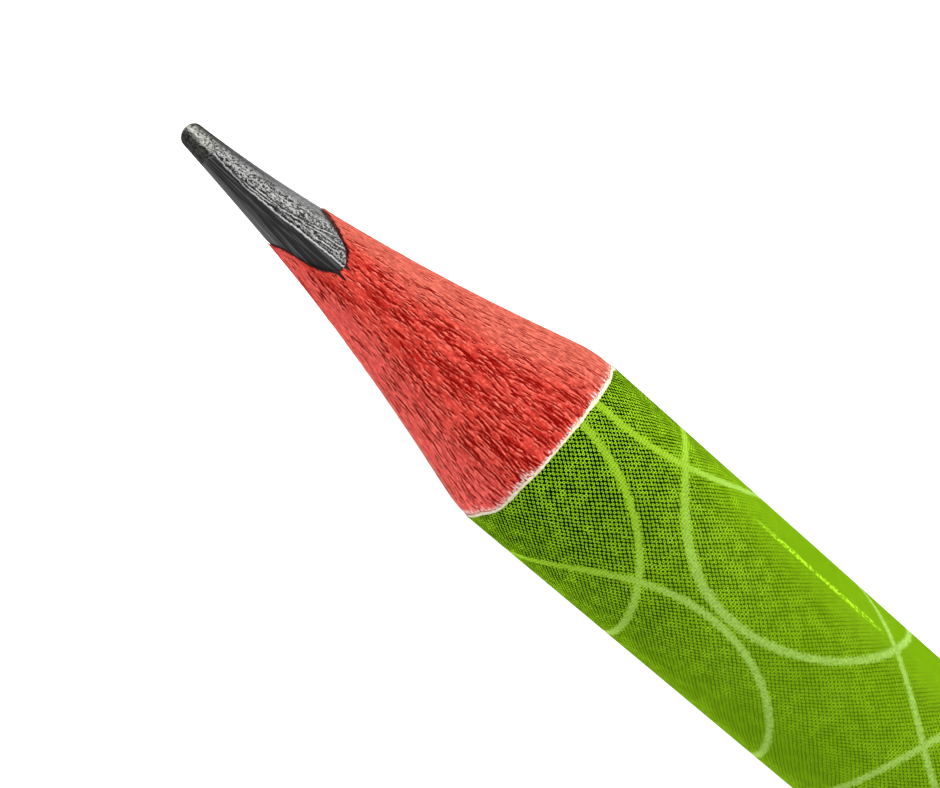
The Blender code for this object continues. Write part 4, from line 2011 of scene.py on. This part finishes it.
@dataclass
class Studio:
    """The camera at the photograph's angle, a pale floor and soft light.

    Attributes:
        blank: the pencil, whose tip places the camera and the lamps.
        camera_from_tip: the camera's place, from the tip.
        camera_rows: the camera's right, up and backward directions.
        focal_length: of the camera's lens.
        sensor_width: of its sensor.
        ambient: strength of the even light from all round.
        aim: the lamps point at this distance from the tip.
        floor_half: half the floor's width, in metres.
        floor_drop: how far the floor lies under the barrel.
        floor_shade: shade of its paper, and of the glow that only the camera sees.
        lamps: the soft lamps.
    """

    blank: Blank
    camera_from_tip: Direction = (7.82, 0.0, 32.49)
    camera_rows: tuple[Direction, Direction, Direction] = (
        (0.74908, 0.65357, 0.10833),
        (-0.64480, 0.75680, -0.10724),
        (-0.15207, 0.01048, 0.98831),
    )
    focal_length: float = 36.383
    sensor_width: float = 36.0
    ambient: float = 0.36
    aim: float = 15.0
    floor_half: float = 4.0
    floor_drop: float = 0.01
    floor_shade: float = 0.8
    lamps: tuple[Lamp, ...] = (
        Lamp("key_lamp", (-0.10, 0.82, 0.58), 0.6, 0.34, 3.9),
        Lamp("fill_lamp", (0.1, -0.85, 0.5), 0.6, 0.5, 1.75),
    )

    def build(self) -> None:
        """Set up the camera, the lamps, the world and the floor."""
        self.camera()
        for lamp in self.lamps:
            self.lamp(lamp)
        self.world()
        self.floor()
        bpy.context.scene.view_settings.view_transform = "Standard"

    def camera(self) -> None:
        """Place the camera."""
        data = bpy.data.cameras.new("camera")
        data.lens = self.focal_length
        data.sensor_width = self.sensor_width
        data.sensor_fit = "HORIZONTAL"
        data.clip_start = 0.001
        data.clip_end = 50.0
        camera = bpy.data.objects.new("camera", data)
        bpy.context.scene.collection.objects.link(camera)
        tip = Vector((self.blank.tip, 0.0, self.blank.radius))
        turn = Matrix(self.camera_rows).transposed().to_4x4()
        place = (tip + Vector(self.camera_from_tip)) * MM
        camera.matrix_world = Matrix.Translation(place) @ turn
        bpy.context.scene.camera = camera

    def lamp(self, lamp: Lamp) -> None:
        """Add one lamp, aimed at the sharpened end."""
        data = bpy.data.lights.new(lamp.name, "AREA")
        data.size = lamp.size
        data.energy = lamp.power
        obj = bpy.data.objects.new(lamp.name, data)
        bpy.context.scene.collection.objects.link(obj)
        target = Vector((self.blank.tip + self.aim, 0.0, self.blank.radius)) * MM
        direction = Vector(lamp.direction).normalized()
        obj.location = target + direction * lamp.distance
        obj.rotation_euler = (-direction).to_track_quat("-Z", "Y").to_euler()

    def world(self) -> None:
        """Even light from all round, and white behind the pencil."""
        world = bpy.data.worlds.new("studio")
        world.use_nodes = True
        bpy.context.scene.world = world
        tree = world.node_tree
        tree.nodes.clear()
        path = tree.nodes.new("ShaderNodeLightPath")
        lit = tree.nodes.new("ShaderNodeBackground")
        lit.inputs["Strength"].default_value = self.ambient
        white = tree.nodes.new("ShaderNodeBackground")
        switch = tree.nodes.new("ShaderNodeMixShader")
        output = tree.nodes.new("ShaderNodeOutputWorld")
        for background in (lit, white):
            background.inputs["Color"].default_value = (1.0, 1.0, 1.0, 1.0)
        tree.links.new(path.outputs["Is Camera Ray"], switch.inputs[0])
        tree.links.new(lit.outputs[0], switch.inputs[1])
        tree.links.new(white.outputs[0], switch.inputs[2])
        tree.links.new(switch.outputs[0], output.inputs[0])

    def floor(self) -> None:
        """A wide pale floor that keeps the pencil's faint shadow."""
        bm = bmesh.new()
        bmesh.ops.create_grid(bm, x_segments=1, y_segments=1, size=self.floor_half)
        mesh = bpy.data.meshes.new("floor")
        bm.to_mesh(mesh)
        bm.free()
        floor = bpy.data.objects.new("floor", mesh)
        floor.location.z = -self.floor_drop * MM
        bpy.context.scene.collection.objects.link(floor)
        graph = Graph("floor")
        path = graph.node("ShaderNodeLightPath")
        seen = Signal(graph, path.outputs["Is Camera Ray"])
        paper = graph.node("ShaderNodeBsdfDiffuse", None, {"Color": (self.floor_shade,) * 3})
        glow = graph.node("ShaderNodeEmission", None, {"Strength": seen * self.floor_shade})
        both = graph.node("ShaderNodeAddShader")
        output = graph.node("ShaderNodeOutputMaterial")
        graph.tree.links.new(paper.outputs[0], both.inputs[0])
        graph.tree.links.new(glow.outputs[0], both.inputs[1])
        graph.tree.links.new(both.outputs[0], output.inputs[0])
        mesh.materials.append(graph.material)


PRINTED_RINGS = (
    Ring(25.23, 6.23, 5.46, 1.304, 0.935),
    Ring(14.82, -5.80, 7.17),
    Ring(23.33, -7.07, 6.35),
    Ring(16.26, 11.80, 9.55),
    Ring(39.65, 11.48, 13.26),
    Ring(37.66, -2.35, 6.46),
    Ring(29.00, -13.20, 5.20),
    Ring(10.50, -12.00, 4.60),
)


def main() -> None:
    """Build every piece, then the studio."""
    logging.basicConfig(level=logging.INFO, format="%(message)s")
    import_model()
    blank = Blank.from_frame()
    cut = Cut(blank)
    Lead(cut).build()
    Casing(cut).build()
    Glue(cut).build()
    Coat(cut).build()
    Film(cut, rings=PRINTED_RINGS).build()
    Studio(blank).build()
    bpy.context.view_layer.update()


if __name__ == "__main__":
    main()
